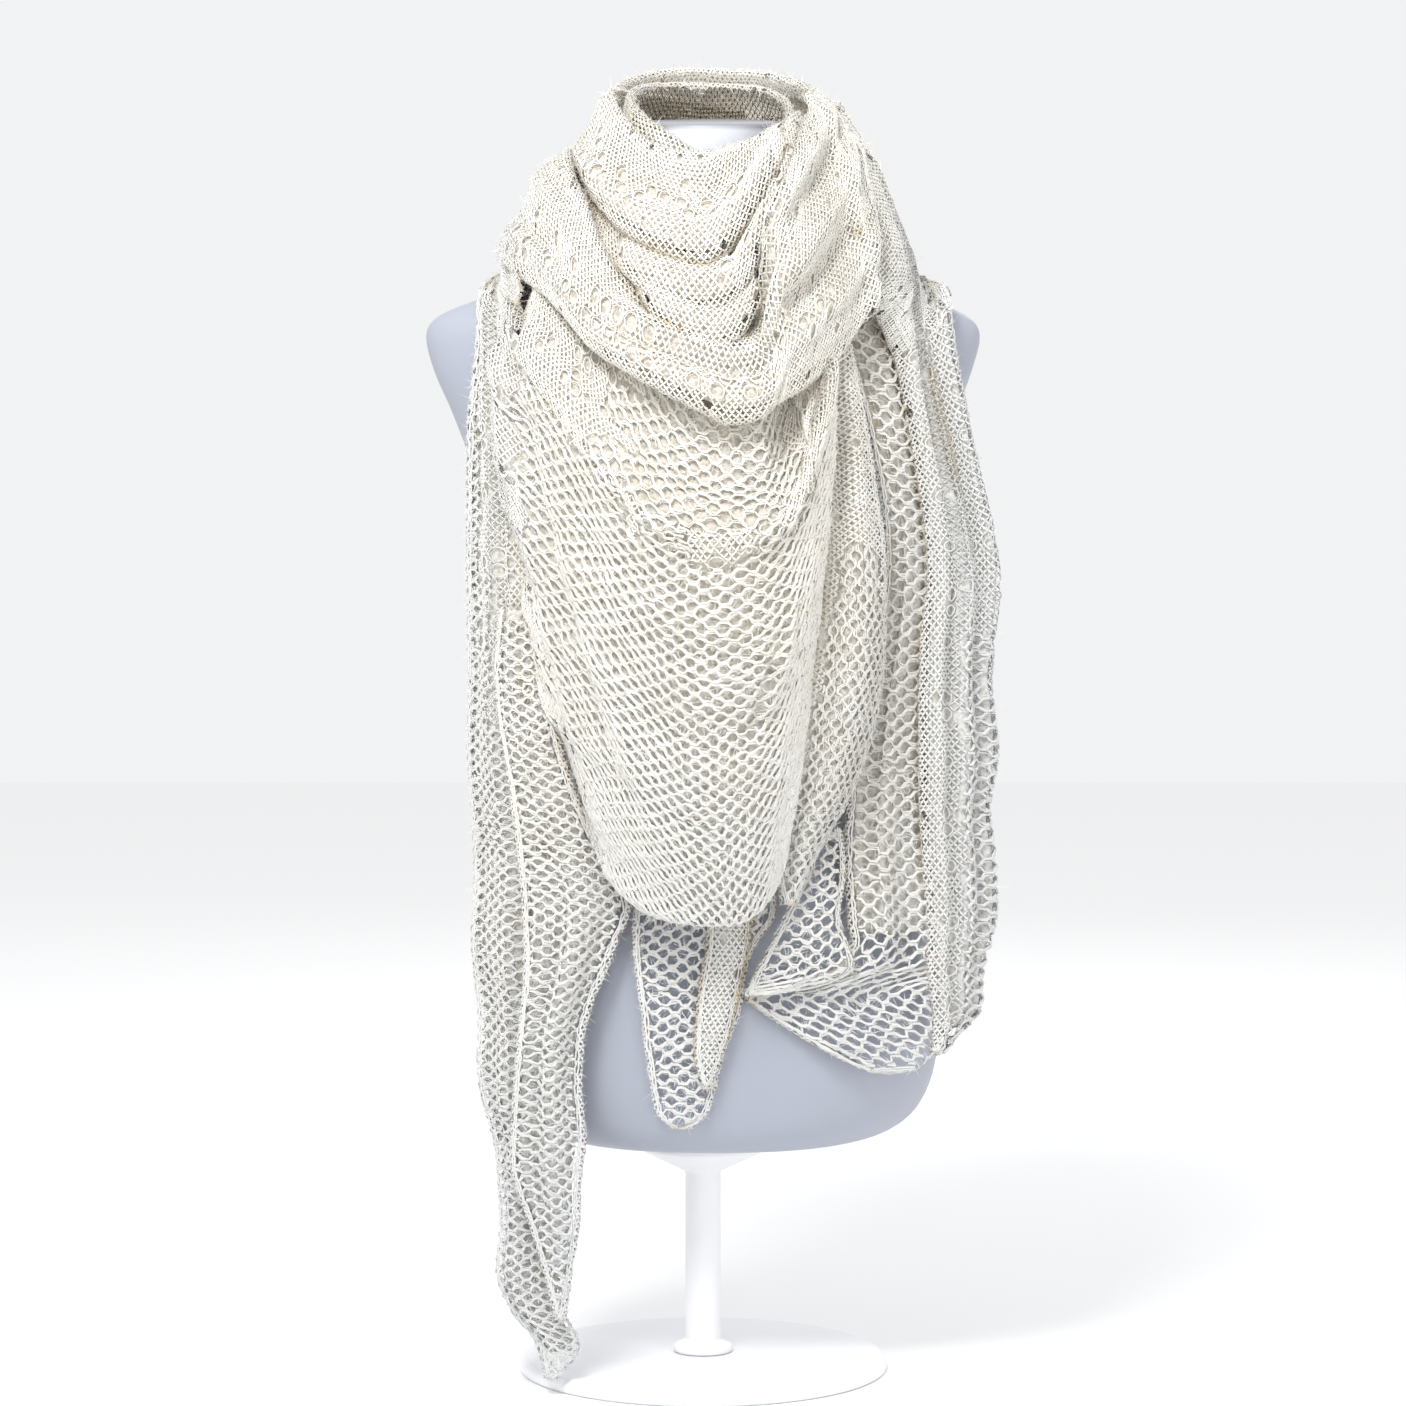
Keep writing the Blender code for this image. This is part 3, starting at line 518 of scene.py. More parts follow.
def stretch_points(name, rows, wound, bow, u, v):
    """Points in metres on a stretch, with its ridges raised along its outward normal."""
    step = 0.004
    here = section_points(rows, wound, bow, u, v)
    du = section_points(rows, wound, bow, u + step, v) - section_points(rows, wound, bow, u - step, v)
    dv = section_points(rows, wound, bow, u, v + step) - section_points(rows, wound, bow, u, v - step)
    normal = np.cross(du, dv)
    size = np.maximum(np.linalg.norm(normal, axis=1), 1e-9)
    outward = np.sum(normal * (here - (NECK_X, 0, 0)) * (1, 1, 0), axis=1)
    normal = normal / size[:, None] * np.where(outward < 0, -1, 1)[:, None]
    return (here + normal * ridge_height(name, u, v)[:, None]) * MM


def spaced(count, narrow):
    """Places of the lines of a grid from 0 to 1, whose odd cells are narrower where it has eyelets."""
    widths = np.where(np.arange(count) % 2 == 1, narrow, 1.0)
    return np.concatenate([[0], np.cumsum(widths)]) / widths.sum()


def outward_of(grid, wound):
    """Level directions that point away from the body, one for every point of a stretch's grid."""
    if wound:
        away = grid - (NECK_X * MM, 0, 0)
    else:
        run = grid[:, -1] - grid[:, 0]
        away = np.stack([run[:, 1], -run[:, 0], run[:, 2] * 0], axis=1)[:, None] + grid * 0
    away = away * (1, 1, 0)
    return away / np.maximum(np.linalg.norm(away, axis=2), 1e-9)[:, :, None]


def laid_outside(grid, wound, inner, reach):
    """The grid moved outwards wherever it would touch what lies inside it, with the step smoothed."""
    away = outward_of(grid, wound)
    along, across = grid.shape[0] - 1, grid.shape[1] - 1
    fine = 5
    need = np.zeros(grid.shape[:2])
    for i in range(along * fine + 1):
        a, s = min(i // fine, along - 1), i / fine - min(i // fine, along - 1)
        for j in range(across * fine + 1):
            b, t = min(j // fine, across - 1), j / fine - min(j // fine, across - 1)
            weights = ((a, b, (1 - s) * (1 - t)), (a + 1, b, s * (1 - t)), (a, b + 1, (1 - s) * t), (a + 1, b + 1, s * t))
            point = sum(grid[k, m] * w for k, m, w in weights)
            push = sum(away[k, m] * w for k, m, w in weights)
            start = Vector(point + push * reach)
            hit = inner.ray_cast(start, Vector(-push), reach + LAYER_GAP)
            if hit[0] is None:
                continue
            lift = reach + LAYER_GAP - hit[3]
            for k, m, w in weights:
                if w > 0:
                    need[k, m] = max(need[k, m], lift)
    padded = np.pad(need, 1, mode="edge")
    rows, cols = need.shape
    near = sum(padded[k : k + rows, m : m + cols] for k in range(3) for m in range(3)) / 9
    return grid + away * np.maximum(need, near)[:, :, None]


def spaced(count, narrow):
    """Places of the lines of a grid from 0 to 1, whose odd cells are narrower where it has eyelets."""
    widths = np.where(np.arange(count) % 2 == 1, narrow, 1.0)
    return np.concatenate([[0], np.cumsum(widths)]) / widths.sum()


def outward_of(grid, wound):
    """Level directions that point away from the body, one for every point of a stretch's grid."""
    if wound:
        away = grid - (NECK_X * MM, 0, 0)
    else:
        run = grid[:, -1] - grid[:, 0]
        away = np.stack([run[:, 1], -run[:, 0], run[:, 2] * 0], axis=1)[:, None] + grid * 0
    away = away * (1, 1, 0)
    return away / np.maximum(np.linalg.norm(away, axis=2), 1e-9)[:, :, None]


def laid_outside(grid, wound, inner, reach):
    """The grid moved outwards wherever it would touch what lies inside it, with the step smoothed."""
    away = outward_of(grid, wound)
    along, across = grid.shape[0] - 1, grid.shape[1] - 1
    fine = 5
    need = np.zeros(grid.shape[:2])
    for i in range(along * fine + 1):
        a, s = min(i // fine, along - 1), i / fine - min(i // fine, along - 1)
        for j in range(across * fine + 1):
            b, t = min(j // fine, across - 1), j / fine - min(j // fine, across - 1)
            weights = ((a, b, (1 - s) * (1 - t)), (a + 1, b, s * (1 - t)), (a, b + 1, (1 - s) * t), (a + 1, b + 1, s * t))
            point = sum(grid[k, m] * w for k, m, w in weights)
            push = sum(away[k, m] * w for k, m, w in weights)
            start = Vector(point + push * reach)
            hit = inner.ray_cast(start, Vector(-push), reach + LAYER_GAP)
            if hit[0] is None:
                continue
            lift = reach + LAYER_GAP - hit[3]
            for k, m, w in weights:
                if w > 0:
                    need[k, m] = max(need[k, m], lift)
    padded = np.pad(need, 1, mode="edge")
    rows, cols = need.shape
    near = sum(padded[k : k + rows, m : m + cols] for k in range(3) for m in range(3)) / 9
    return grid + away * np.maximum(need, near)[:, :, None]


def faces_of(rows, cols):
    """The four-sided faces of a grid of points, as indices into its flat list."""
    return [
        (i * cols + j, (i + 1) * cols + j, (i + 1) * cols + j + 1, i * cols + j + 1)
        for i in range(rows - 1)
        for j in range(cols - 1)
    ]


def stretch_grid(name, rows, wound, bow, along, across):
    """Points of a stretch before it is laid on what is inside it."""
    narrow = 0.62 if any(row[0] == name for row in EYELETS) else 1.0
    u, v = np.meshgrid(spaced(along, narrow), spaced(across, narrow), indexing="ij")
    points = stretch_points(name, rows, wound, bow, u.ravel(), v.ravel())
    return points.reshape(along + 1, across + 1, 3)


def eyelet_cells(name):
    """The cells of a stretch's grid that are open, as (along, across)."""
    return {
        (along, line)
        for stretch, line, first, last, every in EYELETS
        if stretch == name
        for along in range(first, last + 1, every)
    }


def tree_of(layers):
    """One search tree over several lists of points and faces."""
    points, faces = [], []
    for layer_points, layer_faces in layers:
        faces += [[k + len(points) for k in face] for face in layer_faces]
        points += [Vector(p) for p in layer_points]
    return BVHTree.FromPolygons(points, faces)


def plain_form_ring(z, centre_x, half_width, front, back, roundness, slant, count):
    """One section of the torso form in millimetres."""
    turn = 2 * np.pi * np.arange(count) / count
    c, s = np.cos(turn), np.sin(turn)
    depth = np.where(s > 0, back, front)
    x = centre_x + half_width * np.copysign(np.abs(c) ** (2 / roundness), c)
    y = depth * np.copysign(np.abs(s) ** (2 / roundness), s)
    return np.stack([x, y, z + slant * y / depth], axis=1)


def control_grids():
    """The grids of all stretches, laid on each other and on the form just as the solids are."""
    rings = [plain_form_ring(*row, FORM_SEGMENTS) * MM for row in FORM_ROWS]
    count = FORM_SEGMENTS
    around = [
        (i * count + k, i * count + (k + 1) % count, (i + 1) * count + (k + 1) % count, (i + 1) * count + k)
        for i in range(len(rings) - 1)
        for k in range(count)
    ]
    layers = [(np.concatenate(rings), around)]
    grids = {}
    for name, rows, wound, bow, along, across, reach in STRETCHES:
        grid = stretch_grid(name, rows, wound, bow, along, across)
        tree = tree_of(layers)
        for _ in range(3):
            grid = laid_outside(grid, wound, tree, reach * MM)
        grids[name] = (grid, wound)
        layers.append((grid.reshape(-1, 3), faces_of(*grid.shape[:2])))
    return grids


# Soft creases that only show in the yarn: from one place (along, across) to another, height and width in mm
CREASE_COLUMNS = ("along_0", "across_0", "along_1", "across_1", "height", "width")
CREASES = {
    "throat_cowl": (
        (0.42, 0.84, 1.05, 0.86, 9.0, 11),
        (0.55, 0.45, 0.98, 0.42, -3.0, 9),
        (0.60, 0.12, 0.95, 0.10, 3.5, 9),
        (0.10, 0.80, 0.50, 0.85, 4.0, 10),
    ),
    "second_cowl": ((-0.1, 0.80, 0.85, 0.82, 8.0, 9), (-0.1, 0.40, 0.8, 0.42, -5.0, 8)),
    "third_cowl": ((-0.1, 0.80, 1.1, 0.80, 7.0, 8), (-0.1, 0.38, 1.1, 0.38, -5.0, 7)),
    "collar_fold": (
        (0.22, 0.90, 0.80, 0.90, 8.0, 12),
        (0.30, 0.62, 0.70, 0.64, -5.0, 9),
        (0.34, 0.40, 0.66, 0.40, 6.0, 12),
        (0.36, 0.14, 0.62, 0.14, -4.0, 9),
        (0.66, 0.06, 0.97, 0.08, 7.0, 10),
        (0.66, 0.24, 0.97, 0.24, -7.0, 8),
        (0.66, 0.42, 0.98, 0.42, 6.0, 10),
        (0.66, 0.60, 0.98, 0.60, -7.0, 8),
        (0.68, 0.80, 0.98, 0.80, 6.5, 10),
        (0.05, 0.30, 0.32, 0.32, 5.0, 12),
        (0.05, 0.62, 0.30, 0.62, -5.0, 10),
    ),
    "chest_fold": (
        (0.0, 0.14, 0.80, 0.12, 5.0, 10),
        (0.05, 0.42, 0.70, 0.45, -5.0, 10),
        (0.0, 0.74, 0.75, 0.80, 6.0, 12),
        (0.84, 0.1, 0.88, 0.9, -6, 9),
    ),
    "front_pouch": (
        (0.75, 0.28, 0.62, 0.57, -6.0, 6),
        (0.80, 0.20, 0.70, 0.50, 5.0, 9),
        (0.10, 0.10, 0.32, 0.75, -6.0, 9),
        (0.18, 0.05, 0.42, 0.85, 5.0, 12),
        (0.28, 0.10, 0.50, 0.70, -4.0, 10),
        (0.05, 0.0, 0.16, 0.8, 6.0, 10),
        (0.26, 0.03, 0.98, 0.02, 8.0, 9),
        (0.30, 0.10, 0.95, 0.09, -3.0, 7),
        (0.40, 0.34, 0.66, 0.30, -3.0, 12),
        (0.45, 0.62, 0.70, 0.60, 3.0, 14),
    ),
    "pouch_border": ((0.02, 0.12, 0.9, 0.16, 4.0, 7), (0.02, 0.34, 0.95, 0.36, -6.0, 7), (0.02, 0.62, 0.95, 0.62, 4.5, 9)),
    "left_fall": (
        (0.05, 0.60, 0.95, 0.62, 6.0, 11),
        (0.05, 0.34, 0.85, 0.40, -6.0, 9),
        (0.05, 0.12, 0.80, 0.14, 5.0, 10),
        (0.10, 0.84, 0.80, 0.86, -4.0, 8),
    ),
    "left_tail": ((0.1, 0.10, 0.9, 0.12, 2.5, 4), (0.1, 0.30, 0.9, 0.34, -4.5, 7), (0.1, 0.62, 0.9, 0.66, 4.5, 9)),
    "right_outer_fall": (
        (0.02, 0.12, 0.98, 0.12, 6.0, 10),
        (0.05, 0.28, 0.97, 0.26, -7.0, 8),
        (0.05, 0.44, 0.97, 0.42, 6.0, 10),
        (0.05, 0.60, 0.95, 0.58, -6.0, 8),
        (0.05, 0.78, 0.95, 0.78, 5.0, 10),
    ),
    "right_inner_fall": ((0.05, 0.25, 0.75, 0.25, -4.0, 9), (0.05, 0.7, 0.75, 0.7, 4.0, 10)),
}

# Inner turnings of the cloth: from the rim of one stretch (along from, to) in to the low edge of another one
# (along from, to), sagging by some mm on the way
FACING_COLUMNS = ("name", "outer", "outer_from", "outer_to", "inner", "inner_from", "inner_to", "sag")
FACINGS = (("collar_facing", "collar_fold", 0.33, 0.60, "throat_cowl", 0.52, 0.82, 9),)

# Gentle waves across a whole stretch: height and spacing in mm
WAVES = {
    "collar_facing": (1.0, 30),
    "nape_inner": (0.9, 30),
    "nape_outer": (1.3, 30),
    "throat_cowl": (1.3, 42),
    "second_cowl": (1.0, 30),
    "third_cowl": (0.8, 30),
    "collar_fold": (1.8, 34),
    "chest_fold": (1.8, 38),
    "front_pouch": (1.5, 58),
    "pouch_border": (1.5, 26),
    "left_fall": (2.0, 30),
    "left_tail": (2.0, 28),
    "centre_tail": (1.6, 30),
    "centre_tail_fold": (0.8, 20),
    "right_inner_fall": (2.0, 34),
    "right_flap": (1.4, 30),
    "right_outer_fall": (1.6, 32),
    "back_upper": (2.8, 50),
    "back_lower": (2.2, 45),
}

# Where the shawl lies double, an inner layer shows through the holes: how deep it lies in mm, and the part of
# the stretch that it covers
LINING_COLUMNS = ("depth", "along_from", "along_to", "across_from", "across_to")
LININGS = {
    "collar_facing": (1.5, 0.0, 1.0, 0.0, 1.0),
    "nape_outer": (1.8, 0.02, 0.98, 0.03, 0.97),
    "back_upper": (2.2, 0.0, 1.0, 0.0, 0.97),
    "throat_cowl": (2.6, 0.0, 1.0, 0.02, 0.98),
    "second_cowl": (2.6, 0.0, 1.0, 0.02, 0.98),
    "third_cowl": (2.6, 0.0, 1.0, 0.02, 0.98),
    "collar_fold": (3.0, 0.01, 0.99, 0.02, 0.98),
    "chest_fold": (2.6, 0.0, 1.0, 0.02, 0.98),
    "front_pouch": (3.4, 0.0, 1.0, 0.01, 0.99),
    "pouch_border": (3.2, 0.0, 0.99, 0.04, 0.96),
    "left_fall": (3.2, 0.0, 0.98, 0.03, 0.97),
    "left_tail": (3.0, 0.0, 0.94, 0.08, 0.92),
    "right_outer_fall": (3.2, 0.0, 0.97, 0.03, 0.97),
    "right_inner_fall": (4.0, 0.0, 0.80, 0.04, 0.96),
    "centre_tail_fold": (2.0, 0.0, 0.97, 0.06, 0.94),
}

# How each stretch is knitted. The net's yarns run along or across; cell is the scale of its holes. Edges are
# listed as rim (across 0), low (across 1), begin (along 0), end (along 1), each with the radius in which the cloth
# turns under and how far it goes on. "plain" lists areas of plain knitting: along from, to, across from, to.
KNIT_COLUMNS = ("yarn_runs", "cell", "border", "edges", "plain")
ALL = (0, 1, 0, 1)
CUT = (1, 0)
KNIT = {
    "nape_inner": ("along", 1.0, 0, ((4, 14), (4, 8), (5, 14), (5, 14)), (ALL,)),
    "collar_facing": ("along", 1.0, 0, ((1, 0), (1, 0), CUT, CUT), (ALL,)),
    "nape_outer": ("along", 1.0, 0, ((5, 26), (4, 8), (7, 20), (7, 20)), (ALL,)),
    "throat_cowl": ("along", 1.0, 0, ((4, 14), (10, 24), CUT, (80, 18)), (ALL,)),
    "second_cowl": ("along", 1.0, 0, ((4, 8), (9, 18), CUT, CUT), (ALL,)),
    "third_cowl": ("along", 1.0, 0, ((3, 6), (7, 16), CUT, CUT), (ALL,)),
    "collar_fold": ("along", 1.0, 0, ((5, 26), (8, 22), (9, 26), (8, 20)), (ALL,)),
    "chest_fold": ("along", 1.1, 0, ((6, 14), (5, 15), (30, 22), CUT), ((0.0, 0.40, 0, 1), (0.86, 1, 0, 1))),
    "front_pouch": ("along", 0.93, 0, ((8, 30), (6, 20), (5, 14), (5, 14)), ((0, 0.07, 0, 1), (0.26, 1, 0, 0.05))),
    "pouch_border": ("along", 0.8, 0, ((4, 16), (4, 14), CUT, (1, 3)), ((0, 0.42, 0, 1), (0, 1, 0, 0.25))),
    "left_fall": ("across", 0.84, 0, ((4, 10), (5, 16), (90, 24), (1, 3)), ((0, 0.4, 0, 0.8), (0.3, 0.5, 0.3, 0.6))),
    "left_tail": ("across", 0.88, 3, ((3, 10), (4, 12), CUT, (1, 3)), ()),
    "centre_tail": ("across", 1.0, 3, ((3, 8), (3, 8), CUT, (1, 3)), ()),
    "centre_tail_fold": ("across", 0.9, 0, ((3, 9), (3, 9), CUT, (1, 3)), (ALL,)),
    "right_inner_fall": ("across", 1.12, 3, ((4, 16), (3, 8), (90, 22), (2, 6)), ()),
    "right_flap": ("across", 1.0, 3, ((3, 8), (3, 8), CUT, (2, 6)), ()),
    "right_outer_fall": ("across", 1.0, 0, ((5, 20), (6, 22), (90, 22), (2, 6)), ((0, 0.62, 0, 1), (0.62, 1, 0, 0.4))),
    "back_upper": ("along", 1.0, 0, ((70, 22), (5, 18), CUT, CUT), ()),
    "back_lower": ("along", 1.0, 4, (CUT, (4, 12), CUT, CUT), ()),
}

# One period of a net yarn: where its points lie, and how far it swings there. Neighbours swing the other way, so
# that two yarns share the upper and lower wall of each hole.
NET_PITCH = 5.2
NET_PERIOD = 14.5
NET_STEPS = (0.08, 0.25, 0.42, 0.58, 0.75, 0.92)
NET_SWING = (0.82, 1.0, 0.82, -0.82, -1.0, -0.82)
NET_BAND = 1.2

# The strands of a net yarn: swing against the middle one, wander in mm, radius in mm, sides
STRANDS = ((1.0, 0.4, 1.1, 3), (0.85, 1.0, 0.75, 3))

# The rays that tell how open a place lies, and how far they look in mm
OPEN_RAYS = 14
OPEN_REACH = 60.0
OPEN_STEP = 8.0
LINING_STEPS = (10.0, 5.0)
# OPEN_RANGE: the openness over which the wool goes from its painted fold shade to its own colour
OPEN_RANGE = (0.22, 0.80)
YARN_ROUND = 0.35
LINING_CELLS = 190.0
# The painted shade in the gaps of the lining's mesh
LINING_GAP_SHADE = (0.58, 0.53, 0.45)

# The form's neck, from one height to another in metres: lighter, as painted light, then grey round its top
NECK_TONES = ((0.82, 0.87, (0.70, 0.72, 0.78)), (0.900, 0.904, (0.30, 0.31, 0.335)))

STITCH_WIDE = 4.5
STITCH_TALL = 3.0
STITCH_YARN = 1.85


class Cloth:
    """A smooth surface through a stretch's grid, which can be asked for points by flat millimetres.

    X runs along the stretch from its middle, Y across it from its middle. Past an edge the cloth turns
    under in a roll of that edge's radius."""

    FINE = 240
    SIDE = 48

    def __init__(self, name, grid, edges):
        self.name = name
        self.rolls = [radius for radius, _ in edges]
        self.reach = [reach for _, reach in edges]
        rows, cols = grid.shape[0] - 1, grid.shape[1] - 1
        self.rows, self.cols = rows, cols
        padded = np.concatenate([2 * grid[:1] - grid[1:2], grid, 2 * grid[-1:] - grid[-2:-1]], axis=0)
        before, after = 2 * padded[:, :1] - padded[:, 1:2], 2 * padded[:, -1:] - padded[:, -2:-1]
        self.grid = np.concatenate([before, padded, after], axis=1) / MM
        s, t = np.meshgrid(np.linspace(0, rows, self.FINE), np.linspace(0, cols, self.SIDE * 2 + 1), indexing="ij")
        points = self.smooth(s.ravel(), t.ravel())[0].reshape(self.FINE, -1, 3)
        across = np.linalg.norm(np.diff(points, axis=1), axis=2)
        sums = np.concatenate([np.zeros((self.FINE, 1)), np.cumsum(across, axis=1)], axis=1)
        self.width = sums[:, -1]
        share = np.linspace(0, 1, self.SIDE)
        self.place = np.stack([np.interp(share * w, row, t[0]) for w, row in zip(self.width, sums)])
        pick = int(self.SIDE * 2 * 0.55)
        run = np.concatenate([[0], np.cumsum(np.linalg.norm(np.diff(points[:, pick], axis=0), axis=1))])
        self.length = run[-1]
        self.run, self.s = run, s[:, 0]
        self.area = float(np.sum((self.width[1:] + self.width[:-1]) / 2 * np.diff(run)))

    def smooth(self, s, t):
        """Point and the two slopes of the surface, at s rows along and t columns across."""
        i = np.clip(s.astype(int), 0, self.rows - 1)
        j = np.clip(t.astype(int), 0, self.cols - 1)
        a, b = s - i, t - j
        ws, ds = self.weights(a)
        wt, dt = self.weights(b)
        point, along, across = (np.zeros((len(s), 3)) for _ in range(3))
        for k in range(4):
            for m in range(4):
                g = self.grid[i + k, j + m]
                point += g * (ws[k] * wt[m])[:, None]
                along += g * (ds[k] * wt[m])[:, None]
                across += g * (ws[k] * dt[m])[:, None]
        return point, along, across

    @staticmethod
    def weights(a):
        a2, a3 = a * a, a * a * a
        value = (-a + 2 * a2 - a3, 2 - 5 * a2 + 3 * a3, a + 4 * a2 - 3 * a3, -a2 + a3)
        slope = (-1 + 4 * a - 3 * a2, -10 * a + 9 * a2, 1 + 8 * a - 9 * a2, -2 * a + 3 * a2)
        return [v / 2 for v in value], [v / 2 for v in slope]

    def width_at(self, x):
        return np.interp(x + self.length / 2, self.run, self.width)

    def at(self, x, y, lift=0.0):
        """Points and outward normals in mm at flat x and y, raised by lift."""
        half = self.length / 2
        xin = np.clip(x, -half, half)
        s = np.interp(xin + half, self.run, self.s)
        wide = self.width_at(xin)
        share = y / wide + 0.5
        inside = np.clip(share, 0, 1)
        row = s / self.rows * (self.FINE - 1)
        i = np.clip(row.astype(int), 0, self.FINE - 2)
        column = inside * (self.SIDE - 1)
        j = np.clip(column.astype(int), 0, self.SIDE - 2)
        a, b = row - i, column - j
        t = (self.place[i, j] * (1 - b) + self.place[i, j + 1] * b) * (1 - a)
        t += (self.place[i + 1, j] * (1 - b) + self.place[i + 1, j + 1] * b) * a
        point, along, across = self.smooth(s, t)
        along /= np.maximum(np.linalg.norm(along, axis=1), 1e-6)[:, None]
        across /= np.maximum(np.linalg.norm(across, axis=1), 1e-6)[:, None]
        normal = np.cross(along, across)
        normal /= np.maximum(np.linalg.norm(normal, axis=1), 1e-6)[:, None]
        normal *= self.facing
        lifted = self.creases(s / self.rows, inside) + self.waves(xin, (inside - 0.5) * wide)
        point = point + normal * lifted[:, None]
        past = np.stack([(0 - share) * wide, (share - 1) * wide, -half - x, x - half], axis=1)
        for edge, (slope, sign) in enumerate(((across, -1), (across, 1), (along, -1), (along, 1))):
            radius = max(self.rolls[edge], 1e-3)
            over = np.maximum(past[:, edge], 0)
            turn = np.minimum(over / radius, np.pi)
            rest = over - turn * radius
            tangent = slope * sign
            move = radius * np.sin(turn) - rest
            point = point + tangent * move[:, None] - normal * (radius * (1 - np.cos(turn)))[:, None]
            normal = normal * np.cos(turn)[:, None] + tangent * np.sin(turn)[:, None]
        return point + normal * (lift - 1.0 if np.isscalar(lift) else (lift - 1.0)[:, None]), normal

    def creases(self, along, across):
        lift = np.zeros_like(along)
        for a0, c0, a1, c1, height, width in CREASES.get(self.name, ()):
            da, dc = (a1 - a0) * self.length, (c1 - c0) * self.width.mean()
            px, py = (along - a0) * self.length, (across - c0) * self.width.mean()
            t = (px * da + py * dc) / max(da * da + dc * dc, 1e-6)
            distance = np.hypot(px - np.clip(t, 0, 1) * da, py - np.clip(t, 0, 1) * dc)
            fade = np.sin(np.clip(t, 0, 1) * np.pi) ** 0.5
            lift += height * fade * np.exp(-((distance / width) ** 2))
        return lift

    def waves(self, x, y):
        height, gap = WAVES[self.name]
        own = sum(map(ord, self.name)) % 17
        turn = 2 * np.pi * y / gap + 1.1 * np.sin(x / 90 + own) + 0.6 * np.sin(x / 37 + 2 * own)
        strength = 0.6 + 0.4 * np.sin(x / 66 + 3 * own)
        return height * strength * (0.75 * np.sin(turn + own) + 0.35 * np.sin(1.7 * turn + 1))

    def face(self, wound, grid):
        """Settles which way is outwards."""
        self.facing = 1.0
        s, t = np.meshgrid(np.linspace(0, self.rows, 12), np.linspace(0, self.cols, 6), indexing="ij")
        _, along, across = self.smooth(s.ravel(), t.ravel())
        away = outward_of(grid, wound)
        index = np.round(s.ravel()).astype(int), np.round(t.ravel()).astype(int)
        self.facing = 1.0 if np.sum(np.cross(along, across) * away[index]) > 0 else -1.0


def sampled(cloth, step):
    """A grid of points over a cloth and its turned edges, with their normals, in millimetres."""
    half = cloth.length / 2
    rim, low, begin, end = cloth.reach
    x = np.linspace(-half - begin, half + end, max(int(cloth.length / step), 4))
    wide = cloth.width_at(np.clip(x, -half, half)) / 2
    share = np.linspace(0, 1, max(int(cloth.width.max() / step), 4))
    y = -(wide + rim)[:, None] + share[None] * (2 * wide + rim + low)[:, None]
    points, normals = cloth.at(np.repeat(x, len(share)), y.ravel(), 0.0)
    return points.reshape(len(x), len(share), 3), normals.reshape(len(x), len(share), 3)


def openness(samples, skin):
    """For each stretch, how much of the half space over each sample is free of cloth nearby, 0 to 1."""
    points, quads, count = [skin[0]], [list(q) for q in skin[1]], len(skin[0])
    for grid, _ in samples.values():
        quads += [[v + count for v in q] for q in faces_of(*grid.shape[:2])]
        points.append(grid.reshape(-1, 3))
        count += grid.shape[0] * grid.shape[1]
    tree = BVHTree.FromPolygons([tuple(p) for p in np.concatenate(points)], quads)
    k = np.arange(OPEN_RAYS) + 0.5
    rise, turn = np.sqrt(1 - k / OPEN_RAYS * 0.98), k * math.pi * (1 + math.sqrt(5))
    fan = np.stack([np.sqrt(1 - rise**2) * np.cos(turn), np.sqrt(1 - rise**2) * np.sin(turn), rise], axis=1)
    found = {}
    for name, (grid, normals) in samples.items():
        flat, up = grid.reshape(-1, 3), normals.reshape(-1, 3)
        side = np.cross(up, (0.31, 0.52, 0.79))
        side /= np.maximum(np.linalg.norm(side, axis=1), 1e-6)[:, None]
        third = np.cross(up, side)
        free = np.zeros(len(flat))
        for x, y, z in fan:
            heading = side * x + third * y + up * z
            for i, (start, way) in enumerate(zip(flat + up * 2.5, heading)):
                hit = tree.ray_cast(Vector(start), Vector(way), OPEN_REACH)[3]
                free[i] += 1.0 if hit is None else hit / OPEN_REACH
        free = (free / OPEN_RAYS).reshape(grid.shape[:2])
        around = np.pad(free, 1, mode="edge")
        smooth = sum(around[a : a + free.shape[0], b : b + free.shape[1]] for a in range(3) for b in range(3)) / 9
        found[name] = smooth * 0.6 + free * 0.4
    return found


def store_shade_openness(obj, grid, free):
    """Stores on each point of a piece how open its place in the cloth lies, from which the looks paint shade into folds
    and recesses.
    """
    tree = KDTree(grid.shape[0] * grid.shape[1])
    for i, point in enumerate(grid.reshape(-1, 3) * MM):
        tree.insert(point, i)
    tree.balance()
    flat = free.ravel()
    values = np.array([flat[tree.find(v.co)[1]] for v in obj.data.vertices], np.float32)
    obj.data.attributes.new("open", "FLOAT", "POINT").data.foreach_set("value", values)


def softened(outwards, normals):
    """Shading normals of a brushed yarn: turned towards the cloth's own normal, as light soaks through the fibres."""
    way = np.where((outwards * normals).sum(axis=-1, keepdims=True) > -0.3, 1.0, -1.0)
    mixed_way = outwards * YARN_ROUND + normals * way * (1 - YARN_ROUND)
    return mixed_way / np.maximum(np.linalg.norm(mixed_way, axis=-1, keepdims=True), 1e-6)


